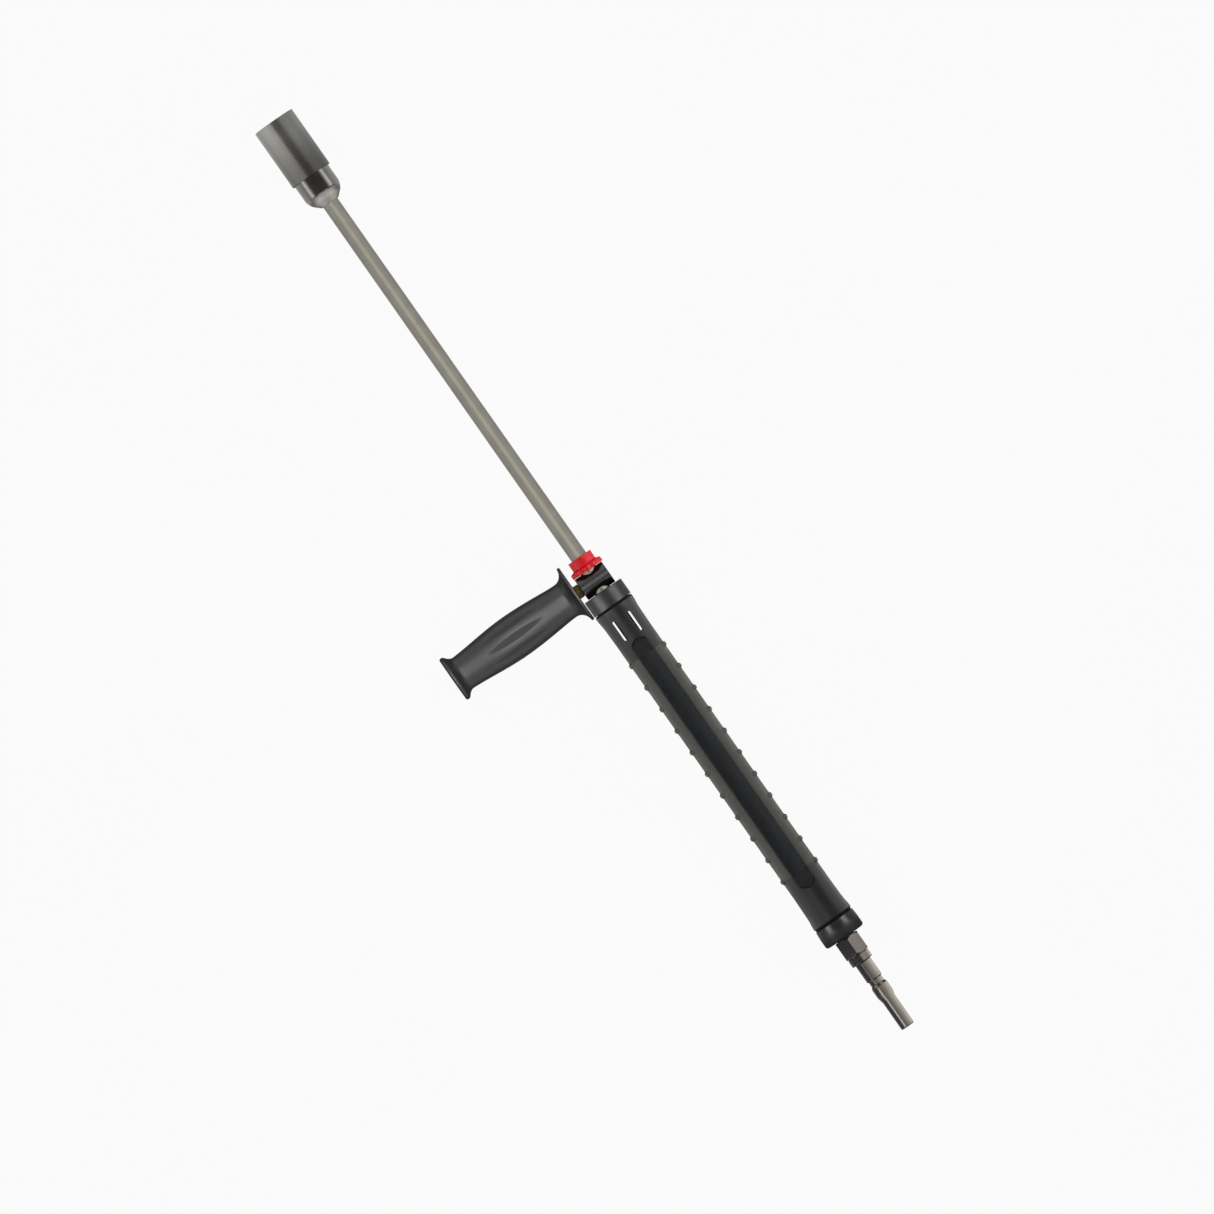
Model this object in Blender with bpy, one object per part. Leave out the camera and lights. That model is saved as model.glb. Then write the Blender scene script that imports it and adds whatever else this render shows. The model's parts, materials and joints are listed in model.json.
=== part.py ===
"""High-pressure cleaning lance with a guarded nozzle, a regulating side handle and a vented grip.

Metres, +Z up. The lance lies flat along X, its nozzle at -X, its coupling plug at +X and its side
handle towards -Y. The origin is on the surface below, under the middle of the lance's box.
Most pieces are turned: a closed outline of (distance along the axis, radius) points swept round
the X axis of their parent empty. The side handle's empty has its X axis pointing to world -Y.
"""

import math

import bmesh
import bpy

# Driving dimensions
OVERALL_LENGTH = 0.9504
GUARD_RADIUS = 0.0191
CAP_RADIUS = 0.0193
FLANGE_RADIUS = 0.0269
HANDLE_REACH = 0.1495
TUBE_RADIUS = 0.00745
TUBE_BORE = 0.0044
GAP = 0.0003

# Where the axes lie: the handle's big flange rests on the surface, and the box is centred in X and Y
AXIS_Z = FLANGE_RADIUS
AXIS_Y = (HANDLE_REACH - CAP_RADIUS) / 2
HALF_LENGTH = OVERALL_LENGTH / 2
TUBE_SOCKET = TUBE_RADIUS + GAP

# Nozzle end
GUARD_FRONT = -HALF_LENGTH
GUARD_REAR = GUARD_FRONT + 0.0569
GUARD_BORE = 0.0175
HOLDER_RADIUS = GUARD_BORE - GAP
HOLDER_FRONT = GUARD_FRONT + 0.0372
HOLDER_TAPER = GUARD_FRONT + 0.0727
HOLDER_SHOULDER = GUARD_FRONT + 0.0781
HOLDER_REAR = GUARD_FRONT + 0.0851
SHOULDER_RADIUS = 0.0162
SHOULDER_EASE = 0.0011
HOLDER_NECK = 0.0086
WATERWAY = 0.004
NOZZLE_SHANK = 0.0065
NOZZLE_FLATS = 0.014
NOZZLE_TIP = 0.0050
ORIFICE = 0.0011
NOZZLE_SEAT = HOLDER_FRONT + 0.0161
LANCE_TUBE_FRONT = HOLDER_REAR - 0.0110

# Valve, a cylinder across the lance
VALVE_X = 0.0066
VALVE_RADIUS = 0.0109
OUTLET_FACE = VALVE_X - 0.0103
VALVE_NEAR = 0.0146
VALVE_FAR = -0.0137
GLAND_BORE = 0.0056
GLAND_BORE_END = 0.0072
NEEDLE_BORE = 0.0046
PLUG_BORE_END = -0.0083
OUTLET_RADIUS = 0.0077
OUTLET_POCKET = -0.0007
INLET_RADIUS = 0.0095
INLET_NECK = 0.0076
INLET_MOUTH = 0.0068
INLET_POCKET = 0.0127
PASSAGE = 0.0015
OUTLET_PASSAGE_Y = -0.0009
INLET_PASSAGE_Y = 0.0052
SPINDLE_RADIUS = 0.0036
SPINDLE_INNER_END = GLAND_BORE_END + GAP
SPINDLE_OUTER_END = 0.0377
GLAND_FLATS = 0.0124

# Lock ring on the outlet
LOCK_REAR = OUTLET_FACE - GAP
LOCK_FRONT = LOCK_REAR - 0.0136
LOCK_SLEEVE = 0.0114
LOCK_FLANGE = 0.0152
LOCK_LOBES = 12
LOCK_NOTCH = 0.0008
OUTLET_COLLAR = 0.0092

# Side handle, measured outwards from the lance's axis
HANDLE_FRONT = 0.0194
NECK_REACH = 0.0340
BELLY_REACH = 0.0840
WAIST_REACH = 0.1376
HANDLE_NECK = 0.01665
HANDLE_BELLY = 0.01965
HANDLE_WAIST = 0.0159
HANDLE_END_FLANGE = 0.0213
CORE_RADIUS = 0.0080
CORE_FRONT = 0.0233
CORE_REAR = 0.1277
SCREW_SEAT = 0.1400
SCREW_RADIUS = 0.0026
PIN_REACH = 0.0310
PIN_RADIUS = 0.0015

# Vented grip
COLLAR_FRONT = VALVE_X + VALVE_RADIUS + GAP
COLLAR_REAR = 0.0328
COLLAR_RADIUS = 0.0189
SHELL_FRONT = 0.0342
SHELL_REAR = 0.3623
SHELL_RADIUS = 0.01755
SHELL_FRONT_RADIUS = 0.0190
SHELL_REAR_RADIUS = 0.0190
SHELL_LAND = 0.0181
SHELL_BORE = 0.0120
SPIGOT_RADIUS = 0.0163
SPIGOT_FRONT = 0.0220
SPIGOT_REAR = 0.3720
SLOT_FRONT = 0.0448
SLOT_REAR = 0.0645
SLOT_WIDTH = 0.0028
SLOT_OFFSET = 0.0077
RECESS_FRONT = 0.0682
RECESS_REAR = 0.3280
RECESS_HALF_WIDTH = 0.0083
RECESS_FLOOR = 0.0141
RIB_COUNT = 11
RIB_FIRST = 0.0854
RIB_PITCH = 0.02266
RIB_HEIGHT = 0.00145
RIB_HALF_BASE = 0.0026
RIB_HALF_TOP = 0.0010
CAP_FRONT = 0.3641
CAP_REAR = 0.3813
CAP_FRONT_RADIUS = 0.0188
CAP_CORNER = 0.0024
CAP_BORE = 0.0094

# Coupling plug
HEX_FRONT = CAP_REAR + 0.0009
HEX_REAR = HEX_FRONT + 0.0172
HEX_FLATS = 0.0220
PLUG_COLLAR_RADIUS = 0.0101
PLUG_COLLAR_REAR = HEX_REAR + 0.0079
NIPPLE_RADIUS = 0.00745
GROOVE_RADIUS = 0.0063
RING_RADIUS = 0.0076
PIN_END_RADIUS = 0.0063
NIPPLE_BORE = 0.0032
NIPPLE_SOCKET = 0.0063
FEED_TUBE_REAR = HEX_FRONT + 0.0104

# Sides of the turned pieces. Hexagons and notches need a multiple of 12.
ROUND = 24
HIDDEN = 16
SMOOTH_BELOW = math.radians(35)

FINISHES = {
    "brushed steel": ((0.34, 0.33, 0.31), 0.34, 1.0),
    "tube steel": ((0.40, 0.38, 0.32), 0.38, 1.0),
    "chrome": ((0.66, 0.65, 0.63), 0.10, 1.0),
    "nickel": ((0.50, 0.47, 0.43), 0.18, 1.0),
    "stub steel": ((0.58, 0.55, 0.49), 0.28, 1.0),
    "brass": ((0.55, 0.40, 0.14), 0.32, 1.0),
    "red plastic": ((0.66, 0.02, 0.03), 0.35, 0.0),
    "black enamel": ((0.018, 0.018, 0.018), 0.30, 0.0),
    "black plastic": ((0.035, 0.035, 0.036), 0.45, 0.0),
    "handle plastic": ((0.040, 0.040, 0.038), 0.42, 0.0),
    "bush plastic": ((0.10, 0.10, 0.10), 0.60, 0.0),
    "seal rubber": ((0.012, 0.012, 0.012), 0.75, 0.0),
    "seal fibre": ((0.30, 0.20, 0.12), 0.70, 0.0),
    "seal polymer": ((0.70, 0.69, 0.66), 0.55, 0.0),
    "zinc steel": ((0.55, 0.56, 0.58), 0.35, 1.0),
}


def clear_scene():
    for item in list(bpy.data.objects):
        bpy.data.objects.remove(item)


def finish_material(name, finish):
    colour, roughness, metallic = FINISHES[finish]
    material = bpy.data.materials.new(name + "_finish")
    material.use_nodes = True
    shader = material.node_tree.nodes["Principled BSDF"]
    shader.inputs["Base Color"].default_value = (*colour, 1.0)
    shader.inputs["Roughness"].default_value = roughness
    shader.inputs["Metallic"].default_value = metallic
    return material


def axis_empty(name, location, parent=None, turn_x=0.0, turn_z=0.0):
    empty = bpy.data.objects.new(name, None)
    empty.location = location
    empty.rotation_euler = (turn_x, 0.0, turn_z)
    empty.parent = parent
    bpy.context.scene.collection.objects.link(empty)
    return empty


def add_object(name, bm, parent, finish=None):
    """The finished mesh as an object. Without a finish it is a cutter, which isn't rendered."""
    bmesh.ops.recalc_face_normals(bm, faces=bm.faces)
    mesh = bpy.data.meshes.new(name)
    bm.to_mesh(mesh)
    bm.free()
    item = bpy.data.objects.new(name, mesh)
    item.parent = parent
    bpy.context.scene.collection.objects.link(item)
    if finish:
        mesh.materials.append(finish_material(name, finish))
        mesh.shade_smooth()
        mesh.set_sharp_from_angle(angle=SMOOTH_BELOW)
    else:
        item.hide_render = True
        item.display_type = "WIRE"
    return item


def turned(name, outline, parent, finish=None, segments=ROUND):
    """Sweeps a closed outline of (along, radius) points round X. A third value on a point is a
    function of radius and angle that reshapes its ring, for hexagons, ribs and notches."""
    bm = bmesh.new()
    rings = []
    for along, radius, *shape in outline:
        if radius == 0:
            rings.append([bm.verts.new((along, 0, 0))])
            continue
        ring = []
        for step in range(segments):
            angle = 2 * math.pi * step / segments
            reach = shape[0](radius, angle) if shape else radius
            ring.append(bm.verts.new((along, reach * math.cos(angle), reach * math.sin(angle))))
        rings.append(ring)
    for ring, following in zip(rings, rings[1:] + rings[:1]):
        if len(ring) == 1 and len(following) == 1:
            continue
        for step in range(segments):
            ahead = (step + 1) % segments
            if len(ring) == 1:
                bm.faces.new((ring[0], following[ahead], following[step]))
            elif len(following) == 1:
                bm.faces.new((ring[step], ring[ahead], following[0]))
            else:
                bm.faces.new((ring[step], ring[ahead], following[ahead], following[step]))
    return add_object(name, bm, parent, finish)


def prism(name, corners, low, high, parent):
    """A cutter: the (x, y) outline raised from low to high along Z."""
    bm = bmesh.new()
    base = bm.faces.new([bm.verts.new((x, y, low)) for x, y in corners])
    raised = bmesh.ops.extrude_face_region(bm, geom=[base])["geom"]
    tops = [item for item in raised if isinstance(item, bmesh.types.BMVert)]
    bmesh.ops.translate(bm, verts=tops, vec=(0, 0, high - low))
    return add_object(name, bm, parent)


def cut(item, cutter, operation="DIFFERENCE"):
    boolean = item.modifiers.new(cutter.name, "BOOLEAN")
    boolean.operation = operation
    boolean.object = cutter
    boolean.solver = "EXACT"


def rod(start, end, radius):
    return [(start, 0), (start, radius), (end, radius), (end, 0)]


def washer(start, end, bore, radius):
    return [(start, bore), (start, radius), (end, radius), (end, bore)]


def arc(centre_along, centre_radius, radius, start, end, steps):
    """Points on an arc, its angles in degrees measured from the axis direction towards outwards."""
    points = []
    for step in range(steps + 1):
        angle = math.radians(start + (end - start) * step / steps)
        points.append((centre_along + radius * math.cos(angle), centre_radius + radius * math.sin(angle)))
    return points


def obround(front, rear, centre, half_width, steps=8):
    """The outline of a slot along X with round ends."""
    corners = []
    for middle, start in ((rear - half_width, -90), (front + half_width, 90)):
        for step in range(steps + 1):
            angle = math.radians(start + 180 * step / steps)
            corners.append((middle + half_width * math.cos(angle), centre + half_width * math.sin(angle)))
    return corners


def hexagon(radius, angle):
    """Ring shape: radius is half the width across flats, with a corner towards +Z."""
    off_flat = (angle + math.radians(30)) % math.radians(60) - math.radians(30)
    return radius / math.cos(off_flat)


def chamfered_hex(front, rear, flats, chamfer):
    """Outline points of a hexagon whose two ends are bevelled."""
    return [
        (front, flats / 2 - chamfer / 2, hexagon),
        (front + chamfer, flats / 2, hexagon),
        (rear - chamfer, flats / 2, hexagon),
        (rear, flats / 2 - chamfer / 2, hexagon),
    ]


def guard_sleeve(lance):
    chamfer = 0.0004
    outline = [
        (GUARD_FRONT, GUARD_BORE),
        (GUARD_FRONT, GUARD_RADIUS - chamfer),
        (GUARD_FRONT + chamfer, GUARD_RADIUS),
        (GUARD_REAR - chamfer, GUARD_RADIUS),
        (GUARD_REAR, GUARD_RADIUS - chamfer),
        (GUARD_REAR, GUARD_BORE),
    ]
    turned("guard_sleeve", outline, lance, "brushed steel")


def nozzle_holder(lance):
    chamfer = 0.0005
    taper = (HOLDER_RADIUS - SHOULDER_RADIUS) / (HOLDER_SHOULDER - HOLDER_TAPER)
    slope = (SHOULDER_RADIUS - HOLDER_NECK) / (HOLDER_REAR - HOLDER_SHOULDER)
    outline = [
        (HOLDER_FRONT, NOZZLE_SHANK + GAP),
        (HOLDER_FRONT, HOLDER_RADIUS - chamfer),
        (HOLDER_FRONT + chamfer, HOLDER_RADIUS),
        (HOLDER_TAPER, HOLDER_RADIUS),
        (HOLDER_SHOULDER - SHOULDER_EASE, SHOULDER_RADIUS + taper * SHOULDER_EASE),
        (HOLDER_SHOULDER + SHOULDER_EASE, SHOULDER_RADIUS - slope * SHOULDER_EASE),
        (HOLDER_REAR, HOLDER_NECK),
        (HOLDER_REAR, TUBE_SOCKET),
        (LANCE_TUBE_FRONT - GAP, TUBE_SOCKET),
        (LANCE_TUBE_FRONT - GAP, WATERWAY),
        (NOZZLE_SEAT, WATERWAY),
        (NOZZLE_SEAT, NOZZLE_SHANK + GAP),
    ]
    turned("nozzle_holder", outline, lance, "chrome")


def spray_nozzle(lance):
    seal_thickness = 0.0015
    rear = NOZZLE_SEAT - 2 * GAP - seal_thickness
    hex_rear = HOLDER_FRONT - GAP
    hex_front = hex_rear - 0.0087
    tip = hex_front - 0.0070
    outline = [
        (rear, 0.0030),
        (rear, NOZZLE_SHANK),
        (hex_rear, NOZZLE_SHANK),
        *reversed(chamfered_hex(hex_front, hex_rear, NOZZLE_FLATS, 0.0006)),
        (hex_front, NOZZLE_TIP),
        (tip + 0.0008, NOZZLE_TIP),
        (tip, NOZZLE_TIP - 0.0008),
        (tip, 0.0026),
        (tip + 0.0020, ORIFICE),
        (tip + 0.0050, ORIFICE),
        (tip + 0.0080, 0.0030),
    ]
    turned("spray_nozzle", outline, lance, "stub steel")
    seal = washer(rear + GAP, rear + GAP + seal_thickness, WATERWAY + GAP, NOZZLE_SHANK)
    turned("nozzle_seal", seal, lance, "seal fibre", HIDDEN)


def lance_tube(lance):
    rear = LOCK_REAR - 0.0019
    turned("lance_tube", washer(LANCE_TUBE_FRONT, rear, TUBE_BORE, TUBE_RADIUS), lance, "tube steel")
    ferrule = washer(LOCK_FRONT + 0.0014, LOCK_FRONT + 0.0034, TUBE_SOCKET, OUTLET_COLLAR)
    turned("tube_ferrule", ferrule, lance, "stub steel", HIDDEN)
    seal = washer(LOCK_FRONT + 0.0037, LOCK_FRONT + 0.0053, TUBE_SOCKET, OUTLET_COLLAR - GAP)
    turned("tube_face_seal", seal, lance, "seal rubber", HIDDEN)


def outlet_connector(lance):
    front = LOCK_FRONT + 0.0056
    collar_rear = LOCK_REAR - 0.0008
    rear = OUTLET_POCKET - GAP
    tube_stop = collar_rear - 0.0008
    waterway = 0.0030
    outline = [
        (front, TUBE_SOCKET),
        (front, OUTLET_COLLAR),
        (collar_rear, OUTLET_COLLAR),
        (collar_rear, OUTLET_RADIUS),
        (rear, OUTLET_RADIUS),
        (rear, waterway),
        (tube_stop, waterway),
        (tube_stop, TUBE_SOCKET),
    ]
    turned("outlet_connector", outline, lance, "stub steel")


def lobed(radius, angle):
    """Ring shape: finger notches round the lock ring's flange."""
    return radius - LOCK_NOTCH * (0.5 - 0.5 * math.cos(LOCK_LOBES * angle))


def lock_ring(lance):
    """The bayonet ring that holds the tube in the valve. It turns round the lance's axis."""
    bore = OUTLET_COLLAR + 0.0004
    flange_front = LOCK_REAR - 0.0050
    outline = [
        (LOCK_FRONT, TUBE_RADIUS + 0.00045),
        (LOCK_FRONT, LOCK_SLEEVE - 0.0005),
        (LOCK_FRONT + 0.0005, LOCK_SLEEVE),
        (flange_front - 0.0006, LOCK_SLEEVE),
        (flange_front + 0.0006, LOCK_FLANGE - 0.0005, lobed),
        (flange_front + 0.0012, LOCK_FLANGE, lobed),
        (LOCK_REAR - 0.0005, LOCK_FLANGE, lobed),
        (LOCK_REAR, LOCK_FLANGE - 0.0005, lobed),
        (LOCK_REAR, bore),
        (LOCK_FRONT + 0.0011, bore),
        (LOCK_FRONT + 0.0011, TUBE_RADIUS + 0.00045),
    ]
    turned("lock_ring", outline, lance, "red plastic")


def valve_body(lance, side):
    chamfer = 0.0007
    outline = [
        (VALVE_NEAR, GLAND_BORE),
        (VALVE_NEAR, VALVE_RADIUS - chamfer),
        (VALVE_NEAR - chamfer, VALVE_RADIUS),
        (VALVE_FAR + chamfer, VALVE_RADIUS),
        (VALVE_FAR, VALVE_RADIUS - chamfer),
        (VALVE_FAR, GLAND_BORE),
        (PLUG_BORE_END, GLAND_BORE),
        (PLUG_BORE_END, NEEDLE_BORE),
        (GLAND_BORE_END, NEEDLE_BORE),
        (GLAND_BORE_END, GLAND_BORE),
    ]
    body = turned("valve_body", outline, side, "black enamel")
    beyond = VALVE_RADIUS + 0.002
    face = VALVE_X - beyond
    side_width = VALVE_NEAR + 0.002
    slab = [(face, -side_width), (OUTLET_FACE, -side_width), (OUTLET_FACE, side_width), (face, side_width)]
    cut(body, prism("outlet_flat", slab, -beyond, beyond, lance))
    cut(body, turned("outlet_pocket", rod(VALVE_X - beyond, OUTLET_POCKET, OUTLET_RADIUS + GAP), lance))
    cut(body, turned("inlet_pocket", rod(INLET_POCKET, VALVE_X + beyond, INLET_NECK + GAP), lance))
    outlet = turned("outlet_passage", rod(OUTLET_POCKET - 0.001, VALVE_X, PASSAGE), lance, segments=HIDDEN)
    outlet.location.y = OUTLET_PASSAGE_Y
    cut(body, outlet)
    inlet = turned("inlet_passage", rod(VALVE_X, INLET_POCKET + 0.001, PASSAGE), lance, segments=HIDDEN)
    inlet.location.y = INLET_PASSAGE_Y
    cut(body, inlet)


def valve_end_plug(side):
    """Screwed in the valve's far end, with a hexagon socket, on its own seal."""
    seal_thickness = 0.0008
    seal_end = PLUG_BORE_END - GAP - seal_thickness
    seal = washer(seal_end, PLUG_BORE_END - GAP, NEEDLE_BORE, GLAND_BORE - 0.0002)
    turned("end_plug_seal", seal, side, "seal fibre", HIDDEN)
    inner = seal_end - GAP
    socket_end = VALVE_FAR + 0.0022
    outline = [
        (inner, 0),
        (inner, GLAND_BORE - GAP),
        (VALVE_FAR + 0.0003, GLAND_BORE - GAP),
        (VALVE_FAR, GLAND_BORE - 2 * GAP),
        (VALVE_FAR, 0.0025, hexagon),
        (socket_end, 0.0025, hexagon),
        (socket_end, 0),
    ]
    turned("valve_end_plug", outline, side, "zinc steel")


def valve_works(side):
    """Seat, needle and spindle. The needle slides along the side axis as the spindle turns."""
    seat_near = -0.0012
    seat_bore = 0.0016
    seat = [
        (seat_near, 0.0026),
        (seat_near, NEEDLE_BORE - GAP),
        (seat_near - 0.0025, NEEDLE_BORE - GAP),
        (seat_near - 0.0025, seat_bore),
        (seat_near - 0.0010, seat_bore),
    ]
    turned("valve_seat", seat, side, "stub steel", HIDDEN)
    needle = [
        (seat_near - 0.0018, 0),
        (seat_near - 0.0018, 0.00038),
        (seat_near + 0.0002, 0.00238),
        (0.0030, 0.00238),
        (0.0030, 0.0042),
        (0.0044, 0.0042),
        (0.0044, 0.0017),
        (0.0120, 0.0017),
        (0.0120, 0),
    ]
    turned("valve_needle", needle, side, "stub steel", HIDDEN)
    thrust_end = SPINDLE_INNER_END + 0.0014
    spindle = [
        (SPINDLE_INNER_END, 0.0021),
        (SPINDLE_INNER_END, GLAND_BORE - 0.0004),
        (thrust_end, GLAND_BORE - 0.0004),
        (thrust_end, SPINDLE_RADIUS),
        (SPINDLE_OUTER_END, SPINDLE_RADIUS),
        (SPINDLE_OUTER_END, 0),
        (0.0152, 0),
        (0.0152, 0.0021),
    ]
    shaft = turned("valve_spindle", spindle, side, "zinc steel", HIDDEN)
    cut(shaft, pin_hole("spindle_pin_hole", side))
    packing = thrust_end + GAP
    oring = [
        (packing, 0.0042),
        (packing + 0.0003, 0.00375),
        (packing + 0.0011, 0.00375),
        (packing + 0.0014, 0.0042),
        (packing + 0.0014, 0.0050),
        (packing + 0.0011, 0.00545),
        (packing + 0.0003, 0.00545),
        (packing, 0.0050),
    ]
    turned("spindle_oring", oring, side, "seal rubber", HIDDEN)
    backup = washer(packing + 0.0017, packing + 0.0022, 0.0039, 0.0054)
    turned("spindle_backup_ring", backup, side, "seal polymer", HIDDEN)
    gland = [
        (packing + 0.0025, 0.0039),
        (packing + 0.0025, GLAND_BORE - GAP),
        (VALVE_NEAR + GAP, GLAND_BORE - GAP),
        *chamfered_hex(VALVE_NEAR + GAP, 0.0196, GLAND_FLATS, 0.0005),
        (0.0196, 0.0050),
        (0.0212, 0.0050),
        (0.0212, 0.0039),
    ]
    turned("gland_nut", gland, side, "brass")


def pin_hole(name, side):
    """A cutter across the side axis for the pin that locks the handle's core to the spindle."""
    hole = turned(name, rod(-0.012, 0.012, PIN_RADIUS + GAP), side, segments=HIDDEN)
    hole.location.x = PIN_REACH
    hole.rotation_euler.z = math.radians(90)
    return hole


def handle_side(along):
    """The side handle's radius between its two flanges: a long belly, widest before the middle."""
    if along < BELLY_REACH:
        rise = math.sin(math.pi / 2 * (along - NECK_REACH) / (BELLY_REACH - NECK_REACH)) ** 1.2
        return HANDLE_NECK + (HANDLE_BELLY - HANDLE_NECK) * rise
    turn = math.pi * (along - BELLY_REACH) / (WAIST_REACH - BELLY_REACH)
    fall = (1 - math.cos(turn)) / 4 + (1 - math.cos(turn / 2)) / 2
    return HANDLE_BELLY - (HANDLE_BELLY - HANDLE_WAIST) * fall


def side_handle_grip(side):
    rim = HANDLE_FRONT + 0.0026
    flare = 0.0090
    outline = [
        (HANDLE_FRONT, 0.0076),
        (HANDLE_FRONT, FLANGE_RADIUS - 0.0006),
        (HANDLE_FRONT + 0.0006, FLANGE_RADIUS),
        (rim - 0.0004, FLANGE_RADIUS),
        (rim, FLANGE_RADIUS - 0.0006),
    ]
    for step in range(1, 4):
        turn = math.radians(90 * step / 4)
        drop = (FLANGE_RADIUS - HANDLE_NECK) * math.sin(turn)
        outline.append((rim + flare * (1 - math.cos(turn)), FLANGE_RADIUS - drop))
    stations = 10
    for step in range(stations + 1):
        along = NECK_REACH + (WAIST_REACH - NECK_REACH) * step / stations
        outline.append((along, handle_side(along)))
    outline += [
        (0.1405, 0.0162),
        (0.1436, 0.0185),
        (0.1456, 0.0208),
        (0.1466, HANDLE_END_FLANGE),
        (0.1484, HANDLE_END_FLANGE),
        (HANDLE_REACH, 0.0204),
        (HANDLE_REACH, 0.0075),
        (SCREW_SEAT, 0.0075),
        (SCREW_SEAT, SCREW_RADIUS + 0.0006),
        (CORE_REAR + GAP, SCREW_RADIUS + 0.0006),
        (CORE_REAR + GAP, CORE_RADIUS + GAP),
        (CORE_FRONT - GAP, CORE_RADIUS + GAP),
        (CORE_FRONT - GAP, 0.0076),
    ]
    turned("side_handle_grip", outline, side, "handle plastic")


def side_handle_inside(side):
    """The steel core on the spindle, its cross pin, and the screw, washer and cap at the far end."""
    spindle_bore_end = SPINDLE_OUTER_END + GAP
    outline = [
        (CORE_FRONT, SPINDLE_RADIUS + GAP),
        (CORE_FRONT, CORE_RADIUS),
        (CORE_REAR, CORE_RADIUS),
        (CORE_REAR, SCREW_RADIUS + GAP),
        (spindle_bore_end, SCREW_RADIUS + GAP),
        (spindle_bore_end, SPINDLE_RADIUS + GAP),
    ]
    core = turned("handle_core", outline, side, "zinc steel", HIDDEN)
    cut(core, pin_hole("core_pin_hole", side))
    pin = turned("handle_pin", rod(-0.0077, 0.0077, PIN_RADIUS), side, "zinc steel", HIDDEN)
    pin.location.x = PIN_REACH
    pin.rotation_euler.z = math.radians(90)
    washer_end = SCREW_SEAT + GAP + 0.0012
    seated = washer(SCREW_SEAT + GAP, washer_end, SCREW_RADIUS + 0.0004, 0.0066)
    turned("handle_washer", seated, side, "zinc steel", HIDDEN)
    head = washer_end + GAP
    screw = [
        (CORE_REAR - 0.0150, 0),
        (CORE_REAR - 0.0150, SCREW_RADIUS),
        (head, SCREW_RADIUS),
        (head, 0.0050),
        (head + 0.0045, 0.0050),
        (head + 0.0045, 0.0022, hexagon),
        (head + 0.0020, 0.0022, hexagon),
        (head + 0.0020, 0),
    ]
    turned("handle_screw", screw, side, "zinc steel")
    cap = [
        (HANDLE_REACH - 0.0018, 0),
        (HANDLE_REACH - 0.0018, 0.0072),
        (HANDLE_REACH - 0.0004, 0.0072),
        (HANDLE_REACH, 0.0068),
        (HANDLE_REACH, 0),
    ]
    turned("handle_end_cap", cap, side, "handle plastic", HIDDEN)


def inlet_connector(lance):
    front = INLET_POCKET + GAP
    tube_stop = 0.0247
    rear = 0.0390
    waterway = 0.0035
    outline = [
        (front, INLET_MOUTH),
        (front, INLET_NECK),
        (COLLAR_FRONT, INLET_NECK),
        (COLLAR_FRONT, INLET_RADIUS),
        (rear, INLET_RADIUS),
        (rear, TUBE_SOCKET),
        (tube_stop, TUBE_SOCKET),
        (tube_stop, waterway),
        (front + 0.0028, waterway),
        (front + 0.0028, INLET_MOUTH),
    ]
    turned("inlet_connector", outline, lance, "stub steel")
    feed = washer(tube_stop + GAP, FEED_TUBE_REAR, TUBE_BORE, TUBE_RADIUS)
    turned("feed_tube", feed, lance, "tube steel", HIDDEN)
    bushes = (("front_bush", rear + GAP, 0.0043), ("middle_bush", 0.1890, 0.0150), ("rear_bush", 0.3440, 0.0150))
    for name, start, length in bushes:
        ring = washer(start, start + length, TUBE_SOCKET, SHELL_BORE - GAP)
        turned(name, ring, lance, "bush plastic", HIDDEN)


def grip_collar(lance):
    chamfer = 0.0007
    wall_rear = SPIGOT_FRONT - 2 * GAP
    outline = [
        (COLLAR_FRONT, INLET_RADIUS + GAP),
        (COLLAR_FRONT, COLLAR_RADIUS - chamfer),
        (COLLAR_FRONT + chamfer, COLLAR_RADIUS),
        (COLLAR_REAR - chamfer, COLLAR_RADIUS),
        (COLLAR_REAR, COLLAR_RADIUS - chamfer),
        (COLLAR_REAR, SPIGOT_RADIUS + GAP),
        (wall_rear, SPIGOT_RADIUS + GAP),
        (wall_rear, INLET_RADIUS + GAP),
    ]
    turned("grip_collar", outline, lance, "black plastic")


def ribbed(height):
    """Ring shape: a rib that stands up on the two flanks of the grip and dies out before its crown."""

    def shape(radius, angle):
        reach = min(1.0, max(0.0, (abs(math.cos(angle)) - 0.64) / 0.22))
        return radius + height * reach

    return shape


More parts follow.
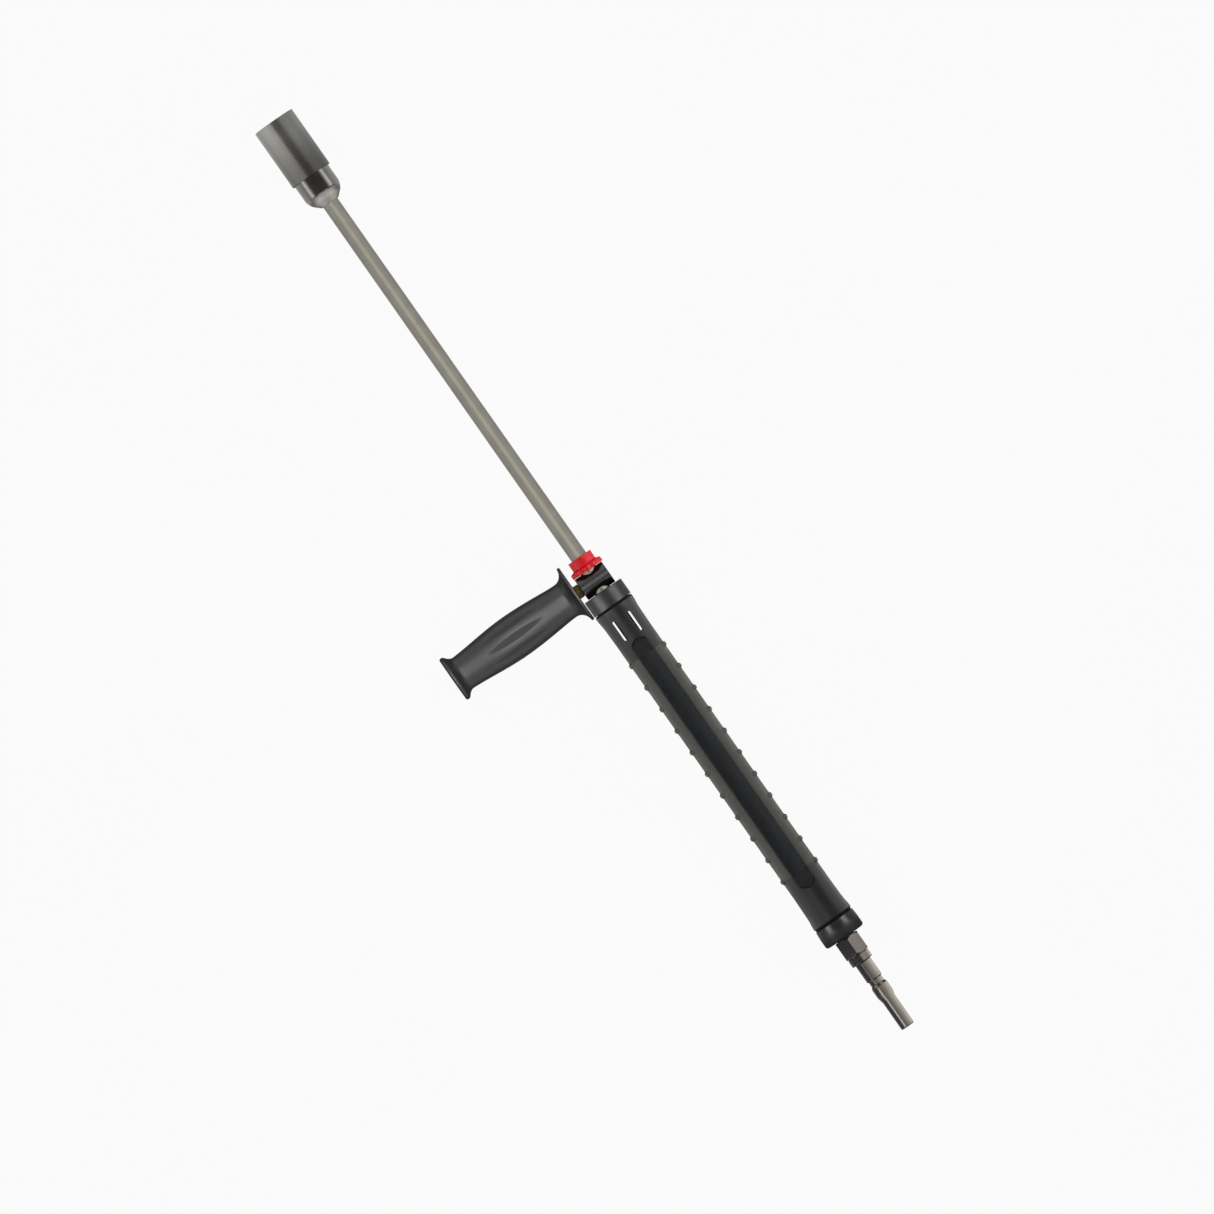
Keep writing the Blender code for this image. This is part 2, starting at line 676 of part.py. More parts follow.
def grip_shell(name, half):
    """One half of the grip, with its vent slots and long recess, closed along the flanks."""
    outline = [
        (SPIGOT_FRONT, SHELL_BORE),
        (SPIGOT_FRONT, SPIGOT_RADIUS),
        (COLLAR_REAR + GAP, SPIGOT_RADIUS),
        (COLLAR_REAR + GAP, SHELL_LAND),
        (SHELL_FRONT, SHELL_LAND),
        (SHELL_FRONT + 0.0004, SHELL_FRONT_RADIUS),
        (SHELL_FRONT + 0.0045, SHELL_FRONT_RADIUS - 0.0003),
        (SHELL_FRONT + 0.0110, SHELL_RADIUS + 0.0004),
        (SHELL_FRONT + 0.0300, SHELL_RADIUS),
    ]
    for index in range(RIB_COUNT):
        middle = RIB_FIRST + RIB_PITCH * index
        outline += [
            (middle - RIB_HALF_BASE, SHELL_RADIUS),
            (middle - RIB_HALF_TOP, SHELL_RADIUS, ribbed(RIB_HEIGHT)),
            (middle + RIB_HALF_TOP, SHELL_RADIUS, ribbed(RIB_HEIGHT)),
            (middle + RIB_HALF_BASE, SHELL_RADIUS),
        ]
    outline += [
        (SHELL_REAR - 0.0130, SHELL_RADIUS + 0.0004),
        (SHELL_REAR - 0.0080, SHELL_RADIUS + 0.0007),
        (SHELL_REAR - 0.0040, SHELL_REAR_RADIUS - 0.0002),
        (SHELL_REAR - 0.0004, SHELL_REAR_RADIUS),
        (SHELL_REAR, SHELL_LAND),
        (CAP_FRONT - GAP, SHELL_LAND),
        (CAP_FRONT - GAP, SPIGOT_RADIUS),
        (SPIGOT_REAR, SPIGOT_RADIUS),
        (SPIGOT_REAR, SHELL_BORE),
    ]
    shell = turned(name, outline, half, "black plastic")
    beyond = 0.030
    front, rear = SPIGOT_FRONT - beyond, SPIGOT_REAR + beyond
    slab = [(front, -beyond), (rear, -beyond), (rear, beyond), (front, beyond)]
    cut(shell, prism(name + "_side", slab, GAP / 2, beyond, half), "INTERSECT")
    recess = obround(RECESS_FRONT, RECESS_REAR, 0.0, RECESS_HALF_WIDTH)
    cut(shell, prism(name + "_recess", recess, RECESS_FLOOR, beyond, half))
    for side_name, centre in (("near", -SLOT_OFFSET), ("far", SLOT_OFFSET)):
        slot = obround(SLOT_FRONT, SLOT_REAR, centre, SLOT_WIDTH / 2, 4)
        cut(shell, prism(f"{name}_{side_name}_slot", slot, -GAP, beyond, half))


def grip_end_cap(lance):
    chamfer = 0.0004
    wall_front = SPIGOT_REAR + 0.0010
    outline = [
        (CAP_FRONT, SPIGOT_RADIUS + GAP),
        (CAP_FRONT, CAP_FRONT_RADIUS - chamfer),
        (CAP_FRONT + chamfer, CAP_FRONT_RADIUS),
        (CAP_FRONT + 0.0065, CAP_RADIUS),
        *arc(CAP_REAR - CAP_CORNER, CAP_RADIUS - CAP_CORNER, CAP_CORNER, 90, 0, 4),
        (CAP_REAR, CAP_BORE),
        (wall_front, CAP_BORE),
        (wall_front, SPIGOT_RADIUS + GAP),
    ]
    turned("grip_end_cap", outline, lance, "black plastic")
    seal = washer(CAP_REAR - 0.0034, HEX_FRONT - GAP, TUBE_SOCKET, CAP_BORE - 0.0004)
    turned("grip_seal_ring", seal, lance, "seal rubber", HIDDEN)


def plug_adapter(lance):
    """The hexagon nut on the feed tube, with the round collar that takes the nipple."""
    tube_end = FEED_TUBE_REAR + 2 * GAP + 0.0013
    socket_end = HEX_REAR - 0.0010
    outline = [
        (HEX_FRONT, TUBE_SOCKET),
        *chamfered_hex(HEX_FRONT, HEX_REAR, HEX_FLATS, 0.0010),
        (HEX_REAR, PLUG_COLLAR_RADIUS - 0.0006),
        (HEX_REAR + 0.0006, PLUG_COLLAR_RADIUS - 0.0006),
        (HEX_REAR + 0.0009, PLUG_COLLAR_RADIUS),
        (PLUG_COLLAR_REAR - 0.0006, PLUG_COLLAR_RADIUS),
        (PLUG_COLLAR_REAR, PLUG_COLLAR_RADIUS - 0.0006),
        (PLUG_COLLAR_REAR, NIPPLE_SOCKET),
        (socket_end, NIPPLE_SOCKET),
        (socket_end, TUBE_BORE),
        (tube_end, TUBE_BORE),
        (tube_end, TUBE_SOCKET),
    ]
    turned("plug_adapter", outline, lance, "nickel")
    end_seal = washer(FEED_TUBE_REAR + GAP, tube_end - GAP, TUBE_BORE, TUBE_RADIUS)
    turned("tube_end_seal", end_seal, lance, "seal fibre", HIDDEN)
    bonded = washer(socket_end + GAP, socket_end + 0.0015, NIPPLE_BORE + GAP, NIPPLE_SOCKET - GAP)
    turned("nipple_seal", bonded, lance, "seal rubber", HIDDEN)


def coupling_nipple(lance):
    shank_front = HEX_REAR + 0.0008
    body_front = PLUG_COLLAR_REAR + GAP
    groove_front = body_front + 0.0179
    ring_front = groove_front + 0.0046
    ring_rear = ring_front + 0.0109
    cone_rear = ring_front + 0.0165
    outline = [
        (shank_front, NIPPLE_BORE),
        (shank_front, NIPPLE_SOCKET - GAP),
        (body_front, NIPPLE_SOCKET - GAP),
        (body_front, NIPPLE_RADIUS - 0.0004),
        (body_front + 0.0004, NIPPLE_RADIUS),
        (groove_front - 0.0006, NIPPLE_RADIUS),
        (groove_front, GROOVE_RADIUS),
        (ring_front, GROOVE_RADIUS),
        (ring_front + 0.0022, RING_RADIUS),
        (ring_rear, RING_RADIUS),
        (cone_rear, PIN_END_RADIUS),
        (HALF_LENGTH - 0.0010, PIN_END_RADIUS),
        (HALF_LENGTH, PIN_END_RADIUS - 0.0006),
        (HALF_LENGTH, NIPPLE_BORE),
    ]
    turned("coupling_nipple", outline, lance, "nickel")


def build():
    clear_scene()
    lance = axis_empty("lance_axis", (0.0, AXIS_Y, AXIS_Z))
    side = axis_empty("side_axis", (VALVE_X, 0.0, 0.0), lance, turn_z=math.radians(-90))
    upper = axis_empty("upper_half", (0.0, 0.0, 0.0), lance)
    lower = axis_empty("lower_half", (0.0, 0.0, 0.0), lance, turn_x=math.radians(180))
    guard_sleeve(lance)
    nozzle_holder(lance)
    spray_nozzle(lance)
    lance_tube(lance)
    outlet_connector(lance)
    lock_ring(lance)
    valve_body(lance, side)
    valve_end_plug(side)
    valve_works(side)
    side_handle_grip(side)
    side_handle_inside(side)
    inlet_connector(lance)
    grip_collar(lance)
    grip_shell("grip_shell_upper", upper)
    grip_shell("grip_shell_lower", lower)
    grip_end_cap(lance)
    plug_adapter(lance)
    coupling_nipple(lance)


build()
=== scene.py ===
"""The looks of the pressure washer lance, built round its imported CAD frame.

Every visible piece is swept again at high resolution inside the CAD box and rides on its body.
The lance lies along X, its side handle along -Y. "Along" is the distance along a piece's own axis.
"""

import json
import math

import bmesh
import bpy
from mathutils import Matrix, Vector

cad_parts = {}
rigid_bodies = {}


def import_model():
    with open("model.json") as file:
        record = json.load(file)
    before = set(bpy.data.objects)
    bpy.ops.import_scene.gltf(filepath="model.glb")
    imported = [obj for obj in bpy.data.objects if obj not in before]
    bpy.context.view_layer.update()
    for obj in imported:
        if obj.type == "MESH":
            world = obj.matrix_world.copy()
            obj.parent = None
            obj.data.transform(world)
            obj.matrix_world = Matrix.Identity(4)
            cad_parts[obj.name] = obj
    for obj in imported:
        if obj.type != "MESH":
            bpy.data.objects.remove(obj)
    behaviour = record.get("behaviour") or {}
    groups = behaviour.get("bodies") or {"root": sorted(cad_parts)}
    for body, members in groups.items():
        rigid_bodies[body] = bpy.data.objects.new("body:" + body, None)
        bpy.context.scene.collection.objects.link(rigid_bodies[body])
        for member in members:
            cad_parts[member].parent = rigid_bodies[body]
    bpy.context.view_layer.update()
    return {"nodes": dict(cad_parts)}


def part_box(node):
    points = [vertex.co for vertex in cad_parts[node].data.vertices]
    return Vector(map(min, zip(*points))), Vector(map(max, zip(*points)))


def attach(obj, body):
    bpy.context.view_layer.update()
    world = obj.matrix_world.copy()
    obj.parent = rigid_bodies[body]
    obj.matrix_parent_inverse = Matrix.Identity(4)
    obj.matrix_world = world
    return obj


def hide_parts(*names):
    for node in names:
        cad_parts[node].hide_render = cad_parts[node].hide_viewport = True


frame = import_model()

MM = 0.001
ROUND = 144
FINE = 288
EASE = 0.25 * MM
GAP = 0.3 * MM
SOFT_CORNER = math.radians(14)
SHARP_EDGE = 35

# ---------------------------------------------------------------- places taken from the frame


def span(node):
    """Where a piece on the lance's axis starts and ends along X."""
    low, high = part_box(node)
    return low.x, high.x


def reach(node):
    """Where a piece on the side axis starts and ends, as distances from the lance's axis."""
    low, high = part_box(node)
    return AXIS_Y - high.y, AXIS_Y - low.y


def radius(node):
    low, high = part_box(node)
    return (high.z - low.z) / 2


tube_low, tube_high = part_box("lance_tube")
AXIS_Y = (tube_low.y + tube_high.y) / 2
AXIS_Z = (tube_low.z + tube_high.z) / 2
valve_low, valve_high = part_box("valve_body")
plug_low, plug_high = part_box("valve_end_plug")
VALVE_X = (plug_low.x + plug_high.x) / 2
VALVE_OUT = valve_high.x - VALVE_X
SOCKET = radius("lance_tube") + GAP

LANCE = Matrix.Translation((0, AXIS_Y, AXIS_Z))
SIDE = Matrix.Translation((VALVE_X, AXIS_Y, AXIS_Z)) @ Matrix.Rotation(-math.pi / 2, 4, "Z")
LOWER_HALF = LANCE @ Matrix.Rotation(math.pi, 4, "X")

# ---------------------------------------------------------------- mesh helpers


def bend(start, corner, end, t):
    """The point a share t along the curve that leaves start and reaches end, pulled to corner."""
    return start * (1 - t) ** 2 + corner * 2 * t * (1 - t) + end * t**2


def eased(outline, size=EASE, steps=3):
    """The closed outline with each of its corners rounded."""
    points = [tuple(p) if len(p) > 2 else (p[0], p[1], None) for p in outline]
    result = []
    for index, (along, out, shape) in enumerate(points):
        before = Vector(points[index - 1][:2])
        here = Vector((along, out))
        after = Vector(points[(index + 1) % len(points)][:2])
        to_before, to_after = before - here, after - here
        if out == 0 or to_before.length < 1e-9 or to_after.length < 1e-9:
            result.append((along, out, shape))
            continue
        turn = math.pi - to_before.angle(to_after)
        if turn < SOFT_CORNER:
            result.append((along, out, shape))
            continue
        cut_before = min(size, 0.45 * to_before.length)
        cut_after = min(size, 0.45 * to_after.length)
        start = here + to_before.normalized() * cut_before
        end = here + to_after.normalized() * cut_after
        for step in range(steps + 1):
            point = bend(start, here, end, step / steps)
            result.append((point.x, point.y, shape))
    return result


def link(name, bm, sharp=SHARP_EDGE):
    """Makes a smooth-shaded piece of the mesh, with edges over sharp degrees kept sharp."""
    bmesh.ops.recalc_face_normals(bm, faces=bm.faces)
    mesh = bpy.data.meshes.new(name)
    bm.to_mesh(mesh)
    bm.free()
    piece = bpy.data.objects.new(name, mesh)
    bpy.context.scene.collection.objects.link(piece)
    mesh.shade_smooth()
    mesh.set_sharp_from_angle(angle=math.radians(sharp))
    return piece


def on_ring(along, out, angle):
    return Vector((along, out * math.cos(angle), out * math.sin(angle)))


def sweep(name, outline, place, segments=ROUND):
    """Sweeps a closed outline round the axis of place. A point's third value reshapes its ring."""
    bm = bmesh.new()
    rings = []
    for along, out, shape in outline:
        if out == 0:
            rings.append([bm.verts.new(place @ Vector((along, 0, 0)))])
            continue
        ring = []
        for step in range(segments):
            angle = 2 * math.pi * step / segments
            r = shape(out, angle) if shape else out
            ring.append(bm.verts.new(place @ on_ring(along, r, angle)))
        rings.append(ring)
    for ring, following in zip(rings, rings[1:] + rings[:1]):
        if len(ring) == 1 and len(following) == 1:
            continue
        for step in range(segments):
            ahead = (step + 1) % segments
            if len(ring) == 1:
                bm.faces.new((ring[0], following[ahead], following[step]))
            elif len(following) == 1:
                bm.faces.new((ring[step], ring[ahead], following[0]))
            else:
                bm.faces.new((ring[step], ring[ahead], following[ahead], following[step]))
    return link(name, bm)


def even_normals(piece):
    """Keeps flat faces flat in shading beside their rounded edges."""
    weighted = piece.modifiers.new("even_normals", "WEIGHTED_NORMAL")
    weighted.keep_sharp = True
    return piece


def carve(piece, cutter):
    """Cuts cutter out of piece for good, and removes the cutter."""
    boolean = piece.modifiers.new("carve", "BOOLEAN")
    boolean.operation = "DIFFERENCE"
    boolean.solver = "EXACT"
    boolean.object = cutter
    graph = bpy.context.evaluated_depsgraph_get()
    mesh = bpy.data.meshes.new_from_object(piece.evaluated_get(graph))
    piece.modifiers.clear()
    piece.data = mesh
    bpy.data.objects.remove(cutter)
    mesh.shade_smooth()
    mesh.set_sharp_from_angle(angle=math.radians(SHARP_EDGE))


def show(piece, body, slot, node, finish=None):
    """Rides piece on its body in place of a CAD node, in its slot's finish or its own."""
    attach(piece, body)
    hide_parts(node)
    piece.data.materials.clear()
    piece.data.materials.append(MATERIALS[finish or slot])


def turned(node, outline, slot, place, segments=ROUND, ease=(EASE, 3), cutters=(), **how):
    """Sweeps the piece that stands in for a CAD node: rounds its corners, carves it, shows it.

    how can name another body than the lance, and a finish other than the slot's.
    """
    piece = sweep(f"{node}_fine", eased(outline, *ease), place, segments)
    for cutter in cutters:
        carve(piece, cutter)
    show(even_normals(piece), how.get("body", "lance"), slot, node, how.get("finish"))


def rod(start, end, out):
    return [(start, 0, None), (start, out, None), (end, out, None), (end, 0, None)]


def pipe(start, end, bore, out):
    return [(start, bore), (start, out), (end, out), (end, bore)]


def arc(centre_along, centre_out, size, start, end, steps):
    points = []
    for step in range(steps + 1):
        angle = math.radians(start + (end - start) * step / steps)
        points.append((centre_along + size * math.cos(angle), centre_out + size * math.sin(angle)))
    return points


def smoothstep(low, high, value):
    t = min(1.0, max(0.0, (value - low) / (high - low)))
    return t * t * (3 - 2 * t)


def hex_ring(limit=None):
    """Ring shape: a hexagon, its corners cut back to a round limit. A corner points to +Z."""

    def shape(out, angle):
        off_flat = (angle + math.radians(30)) % math.radians(60) - math.radians(30)
        r = out / math.cos(off_flat)
        return min(r, limit) if limit else r

    return shape


def hexagon(front, rear, flats, chamfer=1.1 * MM, steps=5):
    """Outline points of a hexagon whose corners are turned back to a cone at both ends."""
    half = flats / 2
    flat = half * 0.995
    corner = half / math.cos(math.radians(30)) * 0.985
    rise = [step / steps for step in range(steps + 1)]
    ends = [(front + chamfer * t, t) for t in rise] + [(rear - chamfer * t, t) for t in reversed(rise)]
    return [(along, flat, hex_ring(flat + (corner - half) * t)) for along, t in ends]


# ---------------------------------------------------------------- material helpers


EVEN = (1.0, 1.0, 1.0)
X_LINES = (0.02, 1.0, 1.0)
X_RINGS = (1.0, 0.012, 0.012)
Y_RINGS = (0.012, 1.0, 0.012)


class Finish:
    """A node material built up from a few procedural layers."""

    def __init__(self, name, rough, metal=0.0):
        self.name = name
        self.material = bpy.data.materials.new(name)
        self.material.use_nodes = True
        self.tree = self.material.node_tree
        self.shader = self.tree.nodes["Principled BSDF"]
        self.shader.inputs["Roughness"].default_value = rough
        self.shader.inputs["Metallic"].default_value = metal
        self.coords = self.tree.nodes.new("ShaderNodeTexCoord")

    def node(self, kind, **values):
        made = self.tree.nodes.new(kind)
        for key, value in values.items():
            setattr(made, key, value)
        return made

    def wire(self, source, target):
        self.tree.links.new(source, target)

    def mapped(self, stretch):
        mapping = self.node("ShaderNodeMapping")
        mapping.inputs["Scale"].default_value = stretch
        self.wire(self.coords.outputs["Object"], mapping.inputs["Vector"])
        return mapping.outputs["Vector"]

    def noise(self, scale, stretch=EVEN, detail=3.0):
        made = self.node("ShaderNodeTexNoise")
        made.inputs["Scale"].default_value = scale
        made.inputs["Detail"].default_value = detail
        self.wire(self.mapped(stretch), made.inputs["Vector"])
        return made.outputs["Fac"]

    def cells(self, scale):
        made = self.node("ShaderNodeTexVoronoi", feature="F1")
        made.inputs["Scale"].default_value = scale
        self.wire(self.mapped(EVEN), made.inputs["Vector"])
        return made.outputs["Distance"]

    def fit(self, value, low, high, to_low=0.0, to_high=1.0):
        made = self.node("ShaderNodeMapRange", interpolation_type="SMOOTHSTEP")
        made.inputs["From Min"].default_value = low
        made.inputs["From Max"].default_value = high
        made.inputs["To Min"].default_value = to_low
        made.inputs["To Max"].default_value = to_high
        self.wire(value, made.inputs["Value"])
        return made.outputs["Result"]

    def math(self, operation, first, second=0.0):
        made = self.node("ShaderNodeMath", operation=operation)
        for socket, value in zip(made.inputs, (first, second)):
            if isinstance(value, (int, float)):
                socket.default_value = value
            else:
                self.wire(value, socket)
        return made.outputs["Value"]

    def blend(self, factor, first, second):
        made = self.node("ShaderNodeMix", data_type="RGBA")
        self.wire(factor, made.inputs["Factor"])
        for socket, value in ((made.inputs["A"], first), (made.inputs["B"], second)):
            if isinstance(value, tuple):
                socket.default_value = (*value, 1.0)
            else:
                self.wire(value, socket)
        return made.outputs["Result"]

    def along(self, axis):
        made = self.node("ShaderNodeSeparateXYZ")
        self.wire(self.coords.outputs["Object"], made.inputs["Vector"])
        return made.outputs[axis]

    def colour(self, value):
        self.wire(value, self.shader.inputs["Base Color"])

    def rough(self, value):
        self.wire(value, self.shader.inputs["Roughness"])

    def so_far(self, socket):
        """What feeds a socket of the shader up to now, to be layered over."""
        return self.shader.inputs[socket].links[0].from_socket

    def rougher(self, mask, least):
        """Raises the roughness to at least this where the mask is 1."""
        self.rough(self.math("MAXIMUM", self.so_far("Roughness"), self.math("MULTIPLY", mask, least)))

    def between(self, value, low, high, fade):
        """1 between low and high, fading out over fade outside them."""
        inside = self.fit(value, low - fade, low), self.fit(value, high + fade, high)
        return self.math("MULTIPLY", *inside)

    def bump(self, height, depth):
        made = self.node("ShaderNodeBump")
        made.inputs["Distance"].default_value = depth
        self.wire(height, made.inputs["Height"])
        last = self.shader.inputs["Normal"].links
        if last:
            self.wire(last[0].from_socket, made.inputs["Normal"])
        self.wire(made.outputs["Normal"], self.shader.inputs["Normal"])


def mixed_metal(name, dark, light, rough_low, rough_high, grain_stretch, grain_scale, grain_depth):
    """Plated or bare metal: smudged colour, streaked roughness and a directional grain."""
    finish = Finish(name, rough_low, 1.0)
    smudge = finish.fit(finish.noise(60, detail=4), 0.35, 0.68)
    grain = finish.noise(grain_scale, grain_stretch, detail=4)
    finish.colour(finish.blend(finish.math("MULTIPLY", smudge, 0.75), dark, light))
    streak = finish.math("ADD", finish.math("MULTIPLY", grain, 0.7), finish.math("MULTIPLY", smudge, 0.3))
    finish.rough(finish.fit(streak, 0.2, 0.75, rough_low, rough_high))
    finish.bump(grain, grain_depth)
    return finish


def moulded(name, dark, light, rough_low, rough_high, grain_scale, grain_depth, specular=0.5):
    """Moulded plastic: fine spark-eroded grain, a slow sheen change and soft scuffs."""
    finish = Finish(name, rough_low)
    finish.shader.inputs["Specular IOR Level"].default_value = specular
    slow = finish.fit(finish.noise(35, detail=3), 0.3, 0.7)
    grain = finish.noise(grain_scale, detail=2)
    speck = finish.fit(finish.noise(900, detail=1), 0.45, 0.75)
    finish.colour(finish.blend(finish.math("MULTIPLY", finish.math("ADD", slow, speck), 0.5), dark, light))
    sheen = finish.math("ADD", finish.math("MULTIPLY", slow, 0.6), finish.math("MULTIPLY", grain, 0.4))
    finish.rough(finish.fit(sheen, 0.25, 0.75, rough_low, rough_high))
    finish.bump(grain, grain_depth)
    return finish


MATERIALS = {}


def keep(finish):
    MATERIALS[finish.name] = finish.material


GUARD_FRONT, GUARD_REAR = span("guard_sleeve")
HOLDER_REAR = span("nozzle_holder")[1]


def guard_steel():
    """Brushed steel, its colour darkened towards the rear by painted shade, so it is brighter towards the
    open end.
    """
    dark, light, far = (0.36, 0.355, 0.33), (0.43, 0.425, 0.40), (0.125, 0.122, 0.112)
    finish = mixed_metal("guard_steel", dark, light, 0.24, 0.31, X_RINGS, 5200, 0.02 * MM)
    # Painted shade: the colour darkens from near the open end towards the rear.
    shade = finish.fit(finish.along("X"), GUARD_FRONT + 8 * MM, GUARD_REAR)
    bright = finish.so_far("Base Color")
    finish.colour(finish.blend(finish.math("MULTIPLY", shade, 0.75), bright, far))
    return finish


def holder_chrome():
    """Polished band with a satin shoulder behind it."""
    dark, light, pale = (0.26, 0.25, 0.235), (0.32, 0.31, 0.295), (0.47, 0.455, 0.43)
    finish = mixed_metal("holder_chrome", dark, light, 0.12, 0.18, X_RINGS, 2600, 0.004 * MM)
    satin = finish.fit(finish.along("X"), HOLDER_REAR - 11.2 * MM, HOLDER_REAR - 10.0 * MM)
    finish.colour(finish.blend(satin, finish.so_far("Base Color"), pale))
    finish.rougher(satin, 0.42)
    return finish


# Name, darkest and lightest colour, roughness range, and the grain's direction, scale and depth.
METALS = (
    ("tube_steel", (0.44, 0.425, 0.365), (0.52, 0.505, 0.44), 0.28, 0.36, X_LINES, 2400, 0.006 * MM),
    ("stub_steel", (0.42, 0.39, 0.33), (0.55, 0.52, 0.45), 0.30, 0.40, X_RINGS, 4200, 0.01 * MM),
    ("plug_nickel", (0.28, 0.27, 0.26), (0.34, 0.33, 0.315), 0.15, 0.22, X_RINGS, 3000, 0.003 * MM),
    ("gland_brass", (0.52, 0.39, 0.11), (0.66, 0.51, 0.17), 0.34, 0.46, Y_RINGS, 4200, 0.01 * MM),
    ("zinc_steel", (0.36, 0.37, 0.38), (0.52, 0.53, 0.55), 0.32, 0.45, EVEN, 700, 0.01 * MM),
)

# Name, darkest and lightest colour, roughness range, the grain's scale and depth, and the gloss.
PLASTICS = (
    ("valve_black", (0.008, 0.008, 0.008), (0.014, 0.014, 0.013), 0.26, 0.34, 420, 0.02 * MM, 1.0),
    ("bush_plastic", (0.09, 0.09, 0.09), (0.13, 0.13, 0.13), 0.55, 0.65, 1800, 0.02 * MM),
    ("seal_rubber", (0.008, 0.008, 0.008), (0.018, 0.018, 0.018), 0.65, 0.8, 1500, 0.02 * MM),
    ("seal_fibre", (0.22, 0.14, 0.08), (0.36, 0.25, 0.15), 0.65, 0.8, 900, 0.05 * MM),
    ("seal_polymer", (0.62, 0.61, 0.58), (0.74, 0.73, 0.70), 0.5, 0.6, 1500, 0.01 * MM),
    ("ring_red", (0.80, 0.004, 0.012), (0.86, 0.007, 0.016), 0.46, 0.50, 300, 0.0, 0.35),
    ("collar_black", (0.020, 0.020, 0.021), (0.028, 0.028, 0.029), 0.38, 0.46, 2600, 0.012 * MM, 1.0),
)

SHELL_FRONT, SHELL_REAR = 34.2 * MM, 362.3 * MM
TEXTURE_FRONT, TEXTURE_REAR = 83.7 * MM, 312.0 * MM
RECESS_FRONT, RECESS_REAR, RECESS_HALF, RECESS_FLOOR = 68.2 * MM, 328.0 * MM, 8.3 * MM, 14.1 * MM


def grip_plastic():
    """Black moulded plastic with a fine raised grain on its middle stretch.

    Painted light makes the grain greyer on the flanks, painted shade darkens the recess's floor to
    blue-black, and a line of painted shade runs round each end of the grip.
    """
    finish = moulded("grip_black", (0.018, 0.018, 0.019), (0.027, 0.027, 0.028), 0.38, 0.48, 2600, 0.012 * MM)
    x = finish.along("X")
    fade = 0.6 * MM
    zone = finish.between(x, TEXTURE_FRONT + fade, TEXTURE_REAR - fade, 2 * fade)
    off_axis = finish.math("ABSOLUTE", finish.math("SUBTRACT", finish.along("Y"), AXIS_Y))
    # Painted light: a lighter grey on the flanks of the grained stretch, where side light falls.
    flank = finish.fit(off_axis, 7.9 * MM, 8.7 * MM)
    smooth = finish.so_far("Base Color")
    flank_painted_light = finish.blend(finish.math("MULTIPLY", flank, zone), smooth, (0.075, 0.072, 0.064))
    # Painted shade: the recess's floor is darkened to a blue-black.
    across = finish.fit(off_axis, RECESS_HALF + 0.2 * MM, RECESS_HALF - 0.2 * MM)
    lengthways = finish.between(x, RECESS_FRONT + 2 * fade, RECESS_REAR - 2 * fade, fade)
    recess_painted_shade = finish.blend(finish.math("MULTIPLY", across, lengthways), flank_painted_light, (0.009, 0.011, 0.014))
    # Painted shade: a near-black, rough line on the shell just inside each end, in the gap by the collar and
    # the cap.
    near_front = finish.fit(x, SHELL_FRONT + 1.1 * MM, SHELL_FRONT + 0.6 * MM)
    near_rear = finish.fit(x, SHELL_REAR - 1.1 * MM, SHELL_REAR - 0.6 * MM)
    line = finish.math("MAXIMUM", near_front, near_rear)
    finish.colour(finish.blend(line, recess_painted_shade, (0.001, 0.001, 0.001)))
    finish.rougher(line, 0.95)
    pebbles = finish.fit(finish.cells(1150), 0.1, 0.75, 1.0, 0.0)
    finish.bump(finish.math("MULTIPLY", pebbles, zone), 0.10 * MM)
    return finish


def cap_plastic():
    """The same plastic, glossy at the front of the cap and matt towards its rear, where painted shade also
    darkens its colour.
    """
    finish = Finish("cap_black", 0.4)
    rear = finish.fit(finish.along("X"), 365.0 * MM, 380.0 * MM)
    slow = finish.fit(finish.noise(35), 0.3, 0.7)
    glossy = finish.blend(slow, (0.020, 0.020, 0.021), (0.028, 0.028, 0.029))
    # Painted shade: the rear's matt colour is several times darker than the front's.
    matt = finish.blend(slow, (0.005, 0.005, 0.005), (0.008, 0.008, 0.008))
    finish.colour(finish.blend(rear, glossy, matt))
    finish.rough(finish.fit(rear, 0.0, 1.0, 0.28, 0.70))
    finish.shader.inputs["Specular IOR Level"].default_value = 0.6
    finish.bump(finish.noise(2600, detail=2), 0.014 * MM)
    return finish


# Distances from the lance's axis along the side handle.
NECK_REACH, BELLY_REACH, WAIST_REACH = 34.0 * MM, 84.0 * MM, 137.6 * MM
FLUTES = 10
FLUTE_HALF_LENGTH = 33 * MM


def handle_plastic():
    """Black plastic with a low sheen that is matt inside the flutes."""
    dark, light = (0.018, 0.018, 0.016), (0.026, 0.026, 0.024)
    finish = moulded("handle_black", dark, light, 0.36, 0.44, 2600, 0.014 * MM, 0.9)
    right = finish.math("SUBTRACT", finish.along("X"), VALVE_X)
    up = finish.math("SUBTRACT", finish.along("Z"), AXIS_Z)
    wave = finish.math("COSINE", finish.math("MULTIPLY", finish.math("ARCTAN2", right, up), FLUTES))
    past_belly = finish.math("SUBTRACT", finish.along("Y"), AXIS_Y - BELLY_REACH)
    t = finish.math("DIVIDE", past_belly, FLUTE_HALF_LENGTH)
    fading = finish.math("MULTIPLY", finish.math("MULTIPLY", t, t), 1.6)
    finish.rougher(finish.fit(finish.math("SUBTRACT", wave, fading), -1.1, 0.3), 0.68)
    return finish


keep(guard_steel())
keep(holder_chrome())
for row in METALS:
    keep(mixed_metal(*row))
for row in PLASTICS:
    keep(moulded(*row))
keep(grip_plastic())
keep(handle_plastic())
keep(cap_plastic())

# ---------------------------------------------------------------- nozzle end


def build_guard():
    front, rear = span("guard_sleeve")
    out = radius("guard_sleeve")
    bore = 17.5 * MM
    turned("guard_sleeve", pipe(front, rear, bore, out), "guard_steel", LANCE, FINE, (0.4 * MM, 4))


def blended(taper, shoulder, neck, steps=12):
    """The holder's slight taper and the cone down to its neck, blended at the shoulder."""
    before, here, after = Vector(taper), Vector(shoulder), Vector(neck)
    start, end = here.lerp(before, 0.8), here.lerp(after, 0.4)
    points = [bend(start, here, end, step / steps) for step in range(steps + 1)]
    return [taper, *[(point.x, point.y) for point in points], neck]


